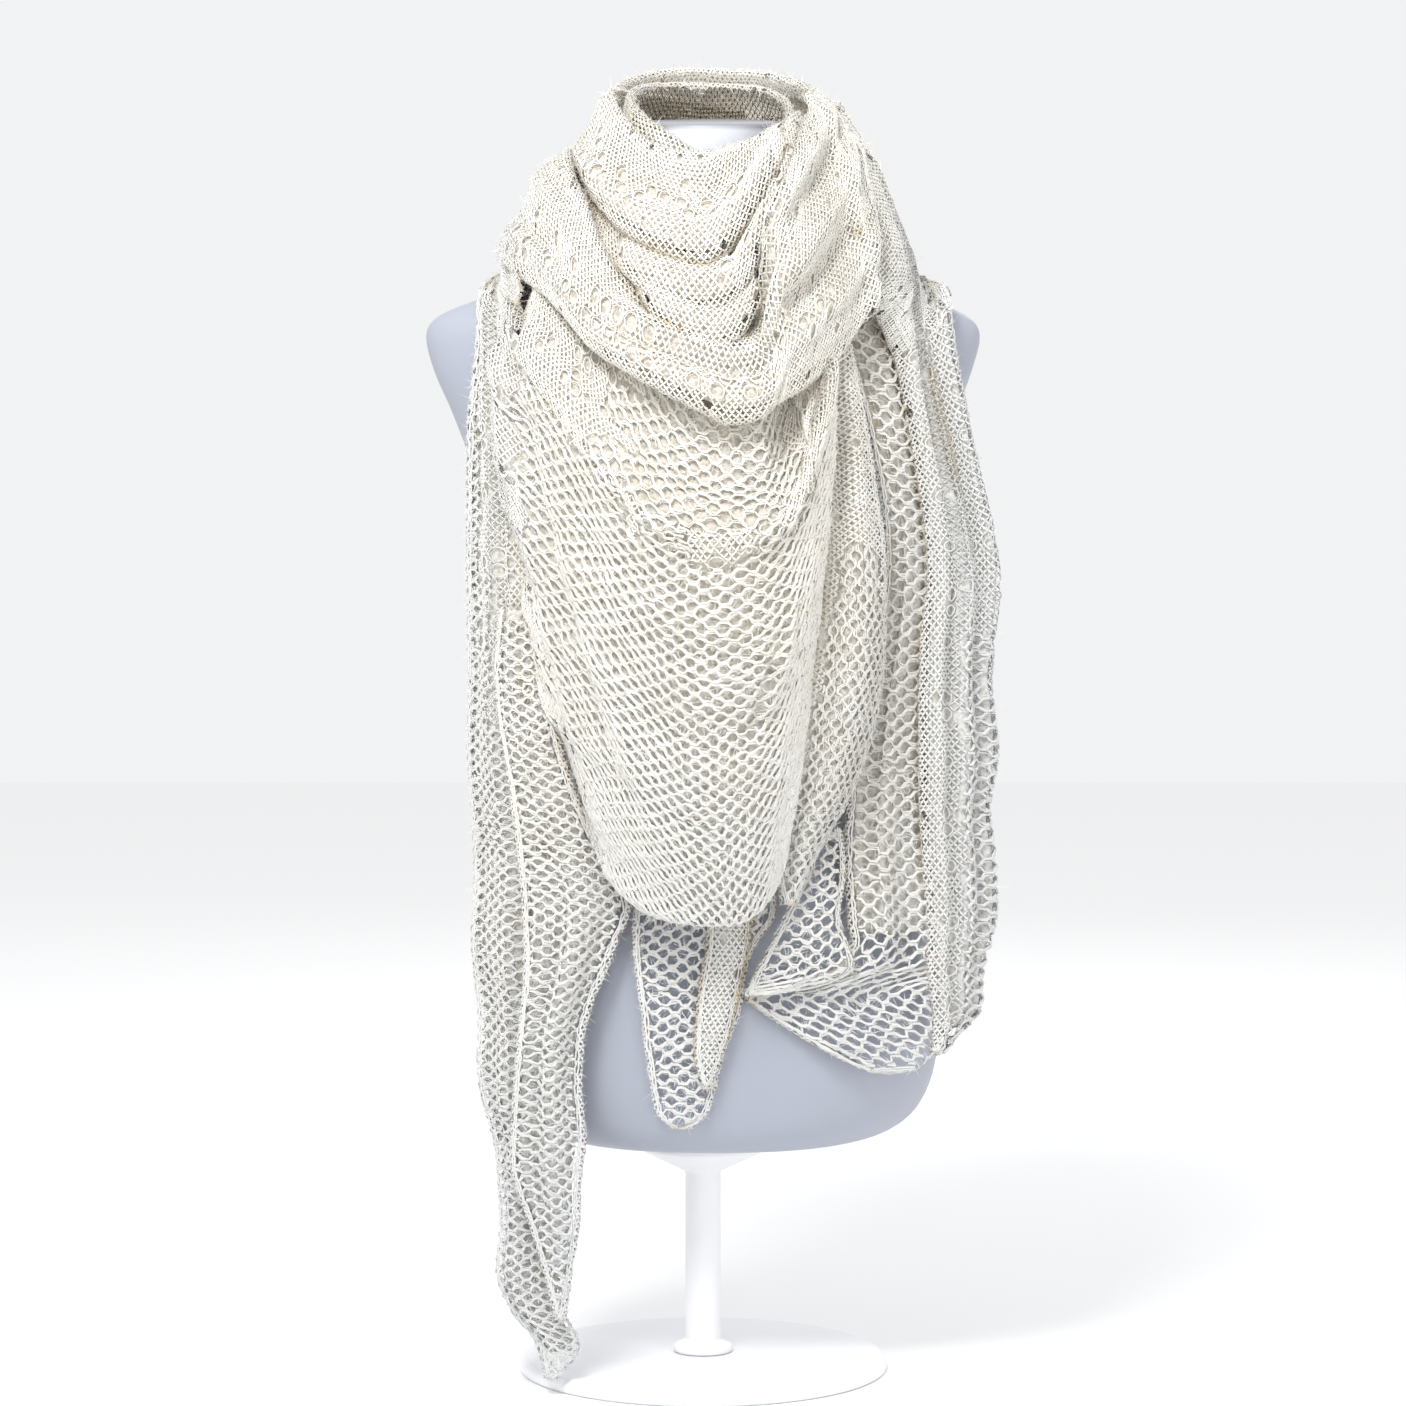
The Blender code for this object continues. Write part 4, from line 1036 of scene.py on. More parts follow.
class Mesh:
    """Collects points and faces of many tubes and threads, in millimetres."""

    def __init__(self):
        self.points, self.quads, self.tris, self.count = [], [], [], 0
        self.normals = []

    def add(self, points, quads=None, tris=None, normals=None):
        if quads is not None and len(quads):
            self.quads.append(quads + self.count)
        if tris is not None and len(tris):
            self.tris.append(tris + self.count)
        self.points.append(points)
        if normals is not None:
            self.normals.append(normals)
        self.count += len(points)

    def tubes(self, points, normals, runs, radius, sides=4):
        """Closed tubes through points; a run is one tube, and its points follow each other."""
        if not len(points):
            return
        radius = np.broadcast_to(radius, len(points)).astype(float)
        same_next = np.append(runs[1:] == runs[:-1], False)
        same_last = np.append(False, runs[1:] == runs[:-1])
        keep = same_next | same_last
        points, normals, runs, radius = points[keep], normals[keep], runs[keep], radius[keep]
        same_next = np.append(runs[1:] == runs[:-1], False)
        same_last = np.append(False, runs[1:] == runs[:-1])
        after = np.where(same_next[:, None], np.roll(points, -1, axis=0), points)
        last = np.where(same_last[:, None], np.roll(points, 1, axis=0), points)
        tangent = after - last
        tangent /= np.maximum(np.linalg.norm(tangent, axis=1), 1e-6)[:, None]
        side = np.cross(tangent, normals)
        side /= np.maximum(np.linalg.norm(side, axis=1), 1e-6)[:, None]
        up = np.cross(side, tangent)
        turn = 2 * np.pi * (np.arange(sides) + 0.5) / sides
        ring = side[:, None] * np.cos(turn)[None, :, None] + up[:, None] * np.sin(turn)[None, :, None]
        soft = softened(ring, normals[:, None]).reshape(-1, 3)
        ring = points[:, None] + ring * radius[:, None, None]
        start = np.nonzero(same_next)[0]
        k = np.arange(sides)
        n = (k + 1) % sides
        a = (start[:, None] * sides + k).ravel()
        b = (start[:, None] * sides + n).ravel()
        quads = np.stack([a, a + sides, b + sides, b], axis=1)
        first, final = np.nonzero(~same_last)[0] * sides, np.nonzero(~same_next)[0] * sides
        caps = []
        for m in range(1, sides - 1):
            caps.append(np.stack([first, first + m, first + m + 1], axis=1))
            caps.append(np.stack([final, final + m + 1, final + m], axis=1))
        self.add(ring.reshape(-1, 3), quads, np.concatenate(caps), soft)

    def grains(self, starts, ends, normals, radius):
        """Closed slubs, thick in the middle and pointed at both ends, for the legs of plain stitches."""
        n = len(starts)
        if not n:
            return
        tangent = ends - starts
        tangent /= np.maximum(np.linalg.norm(tangent, axis=1), 1e-6)[:, None]
        side = np.cross(tangent, normals)
        side /= np.maximum(np.linalg.norm(side, axis=1), 1e-6)[:, None]
        up = np.cross(side, tangent)
        middle = starts * 0.45 + ends * 0.55
        ring, soft = [], [normals]
        for k in range(3):
            turn = 2 * np.pi * (k + 0.25) / 3
            heading = side * np.cos(turn) + up * np.sin(turn)
            ring.append(middle + heading * radius)
            soft.append(softened(heading, normals))
        points = np.stack([starts, *ring, ends], axis=1)
        soft = np.stack([*soft, normals], axis=1).reshape(-1, 3)
        base = np.arange(n)[:, None] * 5
        tris = []
        for k in range(3):
            m = (k + 1) % 3
            tris.append(base + np.array([0, 1 + k, 1 + m]))
            tris.append(base + np.array([4, 1 + m, 1 + k]))
        self.add(points.reshape(-1, 3), None, np.concatenate(tris), soft)

    def wisps(self, starts, ends, wide, facing):
        """Short fibres, each one thin pointed strip."""
        side = np.cross(ends - starts, facing)
        side *= (wide / np.maximum(np.linalg.norm(side, axis=1), 1e-6))[:, None]
        points = np.stack([starts - side, starts + side, ends], axis=1)
        self.add(points.reshape(-1, 3), None, np.arange(len(starts))[:, None] * 3 + np.array([0, 1, 2]))

    def threads(self, starts, middles, ends, wide, facing):
        """Fine bent fibres, each one thin strip that ends in a point."""
        along = ends - starts
        side = np.cross(along, facing)
        side *= (wide / np.maximum(np.linalg.norm(side, axis=1), 1e-6))[:, None]
        points = np.stack([starts - side, starts + side, middles - side * 0.8, middles + side * 0.8, ends], axis=1)
        base = np.arange(len(starts))[:, None] * 5
        self.add(points.reshape(-1, 3), base + np.array([0, 1, 3, 2]), base + np.array([2, 3, 4]))

    def object(self, name, material):
        points = np.concatenate(self.points) * MM
        quads = np.concatenate(self.quads) if self.quads else np.zeros((0, 4), int)
        tris = np.concatenate(self.tris) if self.tris else np.zeros((0, 3), int)
        mesh = bpy.data.meshes.new(name)
        mesh.vertices.add(len(points))
        mesh.vertices.foreach_set("co", points.astype(np.float32).ravel())
        mesh.loops.add(quads.size + tris.size)
        mesh.loops.foreach_set("vertex_index", np.concatenate([quads.ravel(), tris.ravel()]).astype(np.int32))
        mesh.polygons.add(len(quads) + len(tris))
        starts = np.concatenate([np.arange(len(quads)) * 4, quads.size + np.arange(len(tris)) * 3])
        mesh.polygons.foreach_set("loop_start", starts.astype(np.int32))
        mesh.update(calc_edges=True)
        mesh.validate()
        mesh.shade_smooth()
        if self.normals:
            mesh.normals_split_custom_set_from_vertices(np.concatenate(self.normals).tolist())
        mesh.materials.append(material)
        obj = bpy.data.objects.new(name, mesh)
        bpy.context.scene.collection.objects.link(obj)
        return obj


def plain_areas(cloth, x, y, areas, border):
    """Where the cloth is plain knitting: in its listed areas, and along its free edges."""
    half = cloth.length / 2
    along = (x + half) / cloth.length
    wide = cloth.width_at(np.clip(x, -half, half))
    across = y / wide + 0.5
    wave = 0.03 * np.sin(x * 0.11) + 0.03 * np.sin(y * 0.13 + 1)
    plain = np.zeros(len(x), bool)
    for a0, a1, c0, c1 in areas:
        low_a, high_a = (a0 if a0 > 0 else -9), (a1 if a1 < 1 else 9)
        low_c, high_c = (c0 if c0 > 0 else -9), (c1 if c1 < 1 else 9)
        plain |= (along + wave > low_a) & (along + wave < high_a) & (across + wave > low_c) & (across + wave < high_c)
    if border:
        plain |= (wide / 2 - np.abs(y) < border) | (np.abs(x) > half - border)
    return plain


def in_outline(cloth, x, y):
    """Whether flat points lie on the cloth, on its rolled edges or on what goes on under them."""
    half = cloth.length / 2
    wide = cloth.width_at(np.clip(x, -half, half)) / 2
    rim, low, begin, end = cloth.reach
    return (y > -wide - rim) & (y < wide + low) & (x > -half - begin) & (x < half + end)


def eyelet_centres(cloth, name, spread, rng):
    """Flat places of the eyelets, at the cut cells of the solid, in millimetres."""
    cells = sorted(eyelet_cells(name))
    if not cells:
        return np.zeros((0, 2))
    s = np.array([c[0] + 0.5 for c in cells])
    t = np.array([c[1] + 0.5 for c in cells])
    x = np.interp(s, cloth.s, cloth.run) - cloth.length / 2
    row = np.clip((s / cloth.rows * (cloth.FINE - 1)).astype(int), 0, cloth.FINE - 1)
    share = np.array([np.interp(tt, cloth.place[r], np.linspace(0, 1, cloth.SIDE)) for tt, r in zip(t, row)])
    y = (share - 0.5) * cloth.width_at(x)
    centres = [np.stack([x, y], axis=1)]
    for dx, dy, chance in spread:
        picked = rng.random(len(x)) < chance
        centres.append(np.stack([x + dx, y + dy], axis=1)[picked])
    found = []
    for centre in np.concatenate(centres):
        near = [c for c in found if np.hypot(*(c - centre)) < 11.5]
        wide = cloth.width_at(centre[:1])[0] / 2 - 6
        if not near and abs(centre[1]) < wide and abs(centre[0]) < cloth.length / 2 - 6:
            found.append(centre)
    return np.array(found)


def net_paths(cloth, knit, steps, swings, pitch, period, uneven, rng):
    """Wavy yarns side by side over a cloth: places along and across, swing, their runs, and where they lie."""
    runs_along, _, border, _, areas = knit
    reach_x, reach_y = cloth.length / 2 + 30, cloth.width.max() / 2 + 40
    long, wide = (reach_x, reach_y) if runs_along == "along" else (reach_y, reach_x)
    cells = np.arange(-long, long, period)
    p = (cells[:, None] + np.array(steps) * period).ravel()
    q = np.arange(-wide, wide, pitch)
    pp, qq = np.meshgrid(p, q, indexing="xy")
    shape = pp.shape
    parity = np.where(np.arange(len(q)) % 2 == 0, 1.0, -1.0)[:, None]
    vary = 1 + rng.normal(0, uneven, (len(q), len(cells) * 2)).repeat(len(steps) // 2, axis=1)
    vary = vary * (1 + 0.16 * np.sin(pp * 0.047 + 1.3 * np.sin(qq * 0.031)) * np.sin(qq * 0.061 + 0.7))
    swing = parity * (pitch - NET_BAND) / 2 * vary * np.tile(swings, len(cells))
    pp = pp + 1.6 * np.sin(qq * 0.043 + 0.9) + 1.1 * np.sin(pp * 0.021 + qq * 0.05) + rng.normal(0, 0.28, shape)
    qq = qq + 1.3 * np.sin(pp * 0.037 + 1.7) + 0.9 * np.sin(qq * 0.09 + pp * 0.013) + rng.normal(0, 0.2, shape)
    x, y = (pp, qq + swing) if runs_along == "along" else (qq + swing, pp)
    x, y = x.ravel(), y.ravel()
    keep = in_outline(cloth, x, y) & ~plain_areas(cloth, x, y, areas, border)
    number = np.repeat(np.arange(len(q)), len(p))
    runs = np.cumsum(np.append(0, (~keep[1:] | ~keep[:-1]) | (number[1:] != number[:-1])))
    return pp, qq, swing, parity, keep, runs[keep]


def knit_net(mesh, cloth, knit, rng):
    """An open net of loose strands."""
    pitch, period = NET_PITCH * knit[1], NET_PERIOD * knit[1]
    pp, qq, swing, parity, keep, runs = net_paths(cloth, knit, NET_STEPS, NET_SWING, pitch, period, 0.17, rng)
    start = rng.uniform(0, 1, (len(pp), 1))
    few = np.ones(len(keep), bool)
    few[np.tile(np.arange(pp.shape[1]) % len(NET_STEPS), len(pp)) % 3 == 1] = False
    for index, (share, wander, radius, sides) in enumerate(STRANDS):
        turn = 2 * np.pi * (pp / (period * 1.7) + index / 2 + start)
        strand_q = qq + swing * share + wander * np.sin(turn)
        strand_p = pp + rng.normal(0, 0.3, pp.shape)
        rise = (0.35 * np.sin(4 * np.pi * pp / period) * parity + wander * 0.7 * np.cos(turn)).ravel()[keep]
        x, y = (strand_p, strand_q) if knit[0] == "along" else (strand_q, strand_p)
        x, y = x.ravel()[keep], y.ravel()[keep]
        used = few[keep] if index else np.ones(len(x), bool)
        points, normals = cloth.at(x[used], y[used], rise[used])
        thick = radius * (1 + 0.14 * np.sin(x * 0.7 + y * 0.4 + index) + rng.normal(0, 0.10, len(x)))
        mesh.tubes(points, normals, runs[used], thick[used], sides)
    return x, y


def knit_plain(mesh, cloth, knit, eyelets, rng):
    """Plain knitting, loose enough to show a small hole in each stitch, and left open at the eyelets."""
    runs_along, _, border, _, areas = knit
    reach_x, reach_y = cloth.length / 2 + 30, cloth.width.max() / 2 + 40
    long, wide = (reach_x, reach_y) if runs_along == "along" else (reach_y, reach_x)
    rows = np.arange(-wide, wide, STITCH_TALL)
    columns = np.arange(-long, long, STITCH_WIDE)
    qq, pp = np.meshgrid(columns, rows, indexing="xy")
    odd = (np.arange(len(rows)) % 2)[:, None]
    qq = qq + odd * STITCH_WIDE / 2
    pp, qq = pp + 0.8 * np.sin(qq * 0.09) + 0.5 * np.sin(pp * 0.05), qq + 0.9 * np.sin(pp * 0.07 + 2)
    pp, qq = pp + rng.normal(0, 0.22, pp.shape), qq + rng.normal(0, 0.28, pp.shape)
    x, y = (qq, pp) if runs_along == "along" else (pp, qq)
    x, y = x.ravel(), y.ravel()
    keep = in_outline(cloth, x, y) & plain_areas(cloth, x, y, areas, border)
    if len(eyelets):
        near = np.full(len(x), 99.0)
        for cx, cy in eyelets:
            near = np.minimum(near, np.hypot(x - cx, y - cy))
        keep &= near > 4.7
    keep &= rng.random(len(x)) > 0.012
    place = np.full(len(x), -1)
    place[keep] = np.arange(keep.sum())
    place = place.reshape(pp.shape)
    if not keep.any():
        return x[keep], y[keep]
    points, normals = cloth.at(x[keep], y[keep], rng.normal(0, 0.28, keep.sum()))
    for side in (0, 1):
        upper = np.where(odd[1:] == 1, np.roll(place[1:], 1 - side, axis=1), np.roll(place[1:], -side, axis=1))
        start, end = place[:-1].ravel(), upper.ravel()
        both = (start >= 0) & (end >= 0)
        start, end = start[both], end[both]
        over = (points[end] - points[start]) * 0.14
        close = np.linalg.norm(over, axis=1) < 1.5
        start, end, over = start[close], end[close], over[close]
        thick = STITCH_YARN / 2 * (1 + rng.normal(0, 0.10, len(start)))
        mesh.grains(points[start] - over, points[end] + over, normals[start], thick[:, None])
    return x[keep], y[keep]


def line(name, cloth, material):
    """The inner layer behind a stretch, a thin closed sheet of close knitting."""
    depth, a0, a1, c0, c1 = LININGS[name]
    x = (np.linspace(a0, a1, max(int(cloth.length * (a1 - a0) / LINING_STEPS[0]), 3)) - 0.5) * cloth.length
    share = np.linspace(c0, c1, max(int(cloth.width.max() * (c1 - c0) / LINING_STEPS[1]), 3)) - 0.5
    y = (cloth.width_at(x)[:, None] * share[None]).ravel()
    x = np.repeat(x, len(share))
    rows, cols = len(x) // len(share), len(share)
    ripple = 0.5 * np.sin(x * 0.31 + y * 0.17) + 0.4 * np.sin(y * 0.43 - x * 0.11)
    mesh = Mesh()
    front, _ = cloth.at(x, y, ripple - depth)
    back, _ = cloth.at(x, y, ripple - depth - 0.8)
    quads = np.array(faces_of(rows, cols))
    count = rows * cols
    index = np.arange(count).reshape(rows, cols)
    loop = np.concatenate([index[:-1, 0], index[-1, :-1], index[:0:-1, -1], index[0, :0:-1]])
    after = np.roll(loop, -1)
    rim = np.stack([after, loop, loop + count, after + count], axis=1)
    faces = np.concatenate([quads, quads[:, ::-1] + count, rim])
    mesh.add(np.concatenate([front, back]), faces if cloth.facing > 0 else faces[:, ::-1])
    return mesh.object(name + "_lining", material)


def knit_rings(mesh, cloth, eyelets, rng):
    """The yarn round each eyelet in plain knitting."""
    if not len(eyelets):
        return
    steps = 10
    turn = 2 * np.pi * np.arange(steps + 1) / steps
    for number, (cx, cy) in enumerate(eyelets):
        wide, tall = 4.6 + rng.normal(0, 0.35), 4.9 + rng.normal(0, 0.35)
        x = cx + wide * np.cos(turn) * (1 + 0.06 * np.sin(3 * turn + number))
        y = cy + tall * np.sin(turn) * (1 + 0.06 * np.cos(2 * turn + number))
        points, normals = cloth.at(x, y, np.full(len(x), -0.1))
        mesh.tubes(points, normals, np.zeros(len(x), int), 0.65, 3)


def edge_cords(mesh, cloth, sides, rng):
    """Two yarns that follow a free edge of a stretch."""
    step = 2.5
    half = cloth.length / 2
    for side in sides:
        for inset, lift in ((1.0, 0.4), (2.6, 0.2)):
            if side in ("rim", "low"):
                x = np.arange(-half, half, step)
                y = cloth.width_at(x) / 2 - inset
                y = -y if side == "rim" else y
            else:
                wide = cloth.width[0 if side == "begin" else -1] / 2
                y = np.arange(-wide, wide, step)
                x = np.full(len(y), half - inset) * (-1 if side == "begin" else 1)
            if len(x) < 3:
                continue
            points, normals = cloth.at(x, y + rng.normal(0, 0.35, len(x)), lift + rng.normal(0, 0.3, len(x)))
            mesh.tubes(points, normals, np.zeros(len(x), int), 0.75, 3)


def within(points):
    """Which points in mm lie inside the box that the cloth may fill."""
    low, high = np.array(CAD_BOX[0]) / MM, np.array(CAD_BOX[1]) / MM
    spare = 8.0 + (high - low) * 0.03
    return ((points > low - spare) & (points < high + spare)).all(axis=1)


def fluff(mesh, cloth, x, y, long_share, short_share, rng):
    """The halo: short wisps that lie over the holes, and longer bent fibres that stand off the yarn."""
    for share, bent in ((short_share, False), (long_share, True)):
        count = int(len(x) * share)
        if not count:
            continue
        pick = rng.integers(0, len(x), count)
        u, v = x[pick] + rng.normal(0, 1.4, count), y[pick] + rng.normal(0, 1.4, count)
        start, normal = cloth.at(u, v, rng.uniform(-1.2, 1.3, count))
        heading = rng.uniform(0, 2 * np.pi, count)
        ahead, _ = cloth.at(u + np.cos(heading) * 2, v + np.sin(heading) * 2, 0.2)
        direction = ahead - start
        direction /= np.maximum(np.linalg.norm(direction, axis=1), 1e-6)[:, None]
        direction = direction + normal * np.abs(rng.normal(0, 0.42 if bent else 0.18, count))[:, None]
        long = np.minimum(rng.gamma(4.0, 1.5 if bent else 1.3, count), 9.0)[:, None]
        facing = normal + rng.normal(0, 0.5, (count, 3))
        end = start + direction * long
        wide = rng.uniform(0.14, 0.30, count)
        if bent:
            middle = start + direction * long * 0.5
            end = end + rng.normal(0, 0.2, (count, 3)) * long
            near = within(end)
            mesh.threads(start[near], middle[near], end[near], wide[near] * 0.5, facing[near])
        else:
            near = within(end)
            mesh.wisps(start[near], end[near], wide[near], facing[near])


def node(tree, kind, **values):
    made = tree.nodes.new(kind)
    for key, value in values.items():
        if key in made.inputs:
            made.inputs[key].default_value = value
        else:
            setattr(made, key, value)
    return made


def base_material(name, roughness, sheen=0.0, specular=0.5):
    material = bpy.data.materials.new(name)
    material.use_nodes = True
    surface = material.node_tree.nodes["Principled BSDF"]
    surface.inputs["Roughness"].default_value = roughness
    surface.inputs["Sheen Weight"].default_value = sheen
    surface.inputs["Sheen Roughness"].default_value = 0.5
    surface.inputs["Specular IOR Level"].default_value = specular
    return material, surface


def colour_from_noise(material, surface, scale, stops, detail=3.0):
    """Colours a surface by noise in object space, through a ramp of (place, colour)."""
    tree = material.node_tree
    place = node(tree, "ShaderNodeTexCoord")
    noise = node(tree, "ShaderNodeTexNoise", Scale=scale, Detail=detail, Roughness=0.6)
    ramp = node(tree, "ShaderNodeValToRGB")
    tree.links.new(place.outputs["Object"], noise.inputs["Vector"])
    tree.links.new(noise.outputs["Fac"], ramp.inputs["Fac"])
    elements = ramp.color_ramp.elements
    while len(elements) < len(stops):
        elements.new(0.5)
    for element, (position, colour) in zip(elements, stops):
        element.position = position
        element.color = (*colour, 1)
    tree.links.new(ramp.outputs["Color"], surface.inputs["Base Color"])
    return place, ramp


def wool_material(name, tones, painted_low_side_shade, painted_fold_shade, grain):
    """Fluffy cream yarn: slow patches of warmth, with painted shade that greys it low down and at the sides, and
    painted shade that makes it warmer and darker where cloth closes it in, in folds.
    """
    material, surface = base_material(name, 0.92, sheen=0.4, specular=0.15)
    tree = material.node_tree
    links = tree.links
    place, ramp = colour_from_noise(material, surface, 26.0, tuple(zip((0.30, 0.52, 0.72), tones)))
    # Painted shade: greyer towards the bottom and towards both sides, where less light falls
    split = node(tree, "ShaderNodeSeparateXYZ")
    low = ranged(tree, 0.60, 0.15, 0.0, 0.9)
    aside = node(tree, "ShaderNodeMath", operation="ABSOLUTE")
    edge = ranged(tree, 0.10, 0.19, 0.0, 0.9)
    low_side_shade_share = node(tree, "ShaderNodeMath", operation="MAXIMUM")
    links.new(place.outputs["Object"], split.inputs[0])
    links.new(split.outputs["Z"], low.inputs["Value"])
    links.new(split.outputs["X"], aside.inputs[0])
    links.new(aside.outputs[0], edge.inputs["Value"])
    links.new(low.outputs["Result"], low_side_shade_share.inputs[0])
    links.new(edge.outputs["Result"], low_side_shade_share.inputs[1])
    low_side_shaded = mixed(tree, ramp.outputs["Color"], painted_low_side_shade, low_side_shade_share.outputs[0])
    # Painted shade: places closed in by cloth are mixed towards the darker, warmer fold shade
    open_air = node(tree, "ShaderNodeAttribute", attribute_name="open")
    closed = ranged(tree, *OPEN_RANGE, 1.0, 0.0)
    links.new(open_air.outputs["Fac"], closed.inputs["Value"])
    links.new(mixed(tree, low_side_shaded, painted_fold_shade, closed.outputs["Result"]), surface.inputs["Base Color"])
    fine = node(tree, "ShaderNodeTexNoise", Scale=1500.0, Detail=2.0)
    ply = node(tree, "ShaderNodeTexWave", Scale=420.0, Distortion=3.0, Detail=1.0)
    total = node(tree, "ShaderNodeMath", operation="ADD")
    bump = node(tree, "ShaderNodeBump", Strength=grain, Distance=0.0005)
    links.new(place.outputs["Object"], fine.inputs["Vector"])
    links.new(place.outputs["Object"], ply.inputs["Vector"])
    links.new(fine.outputs["Fac"], total.inputs[0])
    links.new(ply.outputs["Fac"], total.inputs[1])
    links.new(total.outputs[0], bump.inputs["Height"])
    links.new(bump.outputs["Normal"], surface.inputs["Normal"])
    return material


def lining_material(name, tones, painted_low_side_shade, painted_fold_shade, grain):
    """The inner layer: the same wool, with painted shade in the small gaps of a loose mesh."""
    material = wool_material(name, tones, painted_low_side_shade, painted_fold_shade, grain)
    tree = material.node_tree
    surface = tree.nodes["Principled BSDF"]
    colour = surface.inputs["Base Color"].links[0].from_socket
    place = node(tree, "ShaderNodeTexCoord")
    cells = node(tree, "ShaderNodeTexVoronoi", feature="DISTANCE_TO_EDGE", Scale=LINING_CELLS)
    # Painted shade along the edges of the mesh cells
    gap = ranged(tree, 0.12, 0.24, 0.0, 0.8)
    tree.links.new(place.outputs["Object"], cells.inputs["Vector"])
    tree.links.new(cells.outputs["Distance"], gap.inputs["Value"])
    tree.links.new(mixed(tree, colour, LINING_GAP_SHADE, gap.outputs["Result"]), surface.inputs["Base Color"])
    return material


def ranged(tree, from_min, from_max, to_min, to_max):
    made = node(tree, "ShaderNodeMapRange")
    for socket, value in (("From Min", from_min), ("From Max", from_max), ("To Min", to_min), ("To Max", to_max)):
        made.inputs[socket].default_value = value
    return made


def mixed(tree, colour, other, share):
    """The socket of a colour mixed with a constant other one."""
    mix = node(tree, "ShaderNodeMix", data_type="RGBA")
    colours = [i for i in mix.inputs if i.type == "RGBA"]
    tree.links.new(colour, colours[0])
    colours[1].default_value = (*other, 1)
    tree.links.new(share, mix.inputs["Factor"])
    return [o for o in mix.outputs if o.type == "RGBA"][0]


def form_material():
    """Smooth moulded plastic, a pale lavender white, with painted light that makes it lighter up the neck, and grey
    round its top.
    """
    material, surface = base_material("form_plastic_look", 0.42, specular=0.45)
    place, ramp = colour_from_noise(
        material, surface, 4.0, ((0.35, (0.36, 0.385, 0.45)), (0.65, (0.39, 0.415, 0.48)))
    )
    tree = material.node_tree
    split = node(tree, "ShaderNodeSeparateXYZ")
    tree.links.new(place.outputs["Object"], split.inputs[0])
    colour = ramp.outputs["Color"]
    # The first band is painted light up the neck; the second greys its top
    for low, high, tone in NECK_TONES:
        band = ranged(tree, low, high, 0.0, 1.0)
        tree.links.new(split.outputs["Z"], band.inputs["Value"])
        colour = mixed(tree, colour, tone, band.outputs["Result"])
    tree.links.new(colour, surface.inputs["Base Color"])
    noise = node(tree, "ShaderNodeTexNoise", Scale=900.0, Detail=2.0)
    bump = node(tree, "ShaderNodeBump", Strength=0.12, Distance=0.0003)
    tree.links.new(place.outputs["Object"], noise.inputs["Vector"])
    tree.links.new(noise.outputs["Fac"], bump.inputs["Height"])
    tree.links.new(bump.outputs["Normal"], surface.inputs["Normal"])
    return material


def stand_material():
    material, surface = base_material("stand_paint_look", 0.38, specular=0.5)
    place, _ = colour_from_noise(
        material, surface, 9.0, ((0.35, (0.84, 0.84, 0.86)), (0.65, (0.88, 0.88, 0.895)))
    )
    tree = material.node_tree
    noise = node(tree, "ShaderNodeTexNoise", Scale=1300.0, Detail=2.0)
    bump = node(tree, "ShaderNodeBump", Strength=0.15, Distance=0.0002)
    tree.links.new(place.outputs["Object"], noise.inputs["Vector"])
    tree.links.new(noise.outputs["Fac"], bump.inputs["Height"])
    tree.links.new(bump.outputs["Normal"], surface.inputs["Normal"])
    return material


def lofted(name, rings, material):
    """A closed smooth piece through rings of points in millimetres."""
    mesh = Mesh()
    count = len(rings[0])
    points = np.concatenate(rings + [rings[0].mean(axis=0)[None], rings[-1].mean(axis=0)[None]])
    k = np.arange(count)
    n = (k + 1) % count
    quads = [np.stack([i * count + k, i * count + n, (i + 1) * count + n, (i + 1) * count + k], axis=1) for i in range(len(rings) - 1)]
    low, high = len(points) - 2, len(points) - 1
    last = (len(rings) - 1) * count
    tris = [np.stack([n, k, np.full(count, low)], axis=1), np.stack([last + k, last + n, np.full(count, high)], axis=1)]
    mesh.add(points, np.concatenate(quads), np.concatenate(tris))
    return mesh.object(name, material)


def smooth_form(material):
    rows = along_rows(FORM_ROWS[:-1], np.linspace(0, 1, 90))
    count = 96
    rings = [plain_form_ring(*row, count) for row in rows]
    low, top = np.array(FORM_ROWS[-2], float), np.array(FORM_ROWS[-1], float)
    for share in np.linspace(0.1, 0.9, 9):
        rings.append(plain_form_ring(*(low + (top - low) * share), count))
    for shrink, drop in ((1.0, 2.4), (0.985, 1.0), (0.955, 0.25), (0.90, 0.0), (0.5, 0.0)):
        row = top.copy()
        row[2:5] *= shrink
        row[6] *= shrink
        row[0] -= drop
        rings.append(plain_form_ring(*row, count))
    for shrink in (0.5, 0.85):
        row = np.array(FORM_ROWS[0], float)
        row[2:5] *= shrink
        rings.insert(0 if shrink == 0.5 else 1, plain_form_ring(*row, count))
    return lofted("form_skin", rings, material)


def turned(name, profile, count, material):
    """A piece turned about the Z axis from rows of (z, radius), its corners softened."""
    turn = 2 * np.pi * np.arange(count) / count
    rings = [np.stack([r * np.cos(turn), r * np.sin(turn), np.full(count, z)], axis=1) for z, r in profile]
    return lofted(name, rings, material)


def rounded(profile, radius):
    """Rows of (z, radius) with each inner corner replaced by a short curve."""
    rows = [np.array(profile[0], float)]
    for last, here, after in zip(profile, profile[1:], profile[2:]):
        last, here, after = (np.array(p, float) for p in (last, here, after))
        a, b = last - here, after - here
        cut = min(radius, 0.45 * np.linalg.norm(a), 0.45 * np.linalg.norm(b))
        start, end = here + a / np.linalg.norm(a) * cut, here + b / np.linalg.norm(b) * cut
        for t in (0, 0.25, 0.5, 0.75, 1):
            rows.append((1 - t) ** 2 * start + 2 * t * (1 - t) * here + t * t * end)
    rows.append(np.array(profile[-1], float))
    return rows


def aim(obj, target):
    obj.rotation_euler = (Vector(target) - obj.location).to_track_quat("-Z", "Y").to_euler()


def area_light(name, place, target, size, power):
    light = bpy.data.lights.new(name, "AREA")
    light.shape = "DISK"
    light.size = size
    light.energy = power
    obj = bpy.data.objects.new(name, light)
    bpy.context.scene.collection.objects.link(obj)
    obj.location = place
    aim(obj, target)


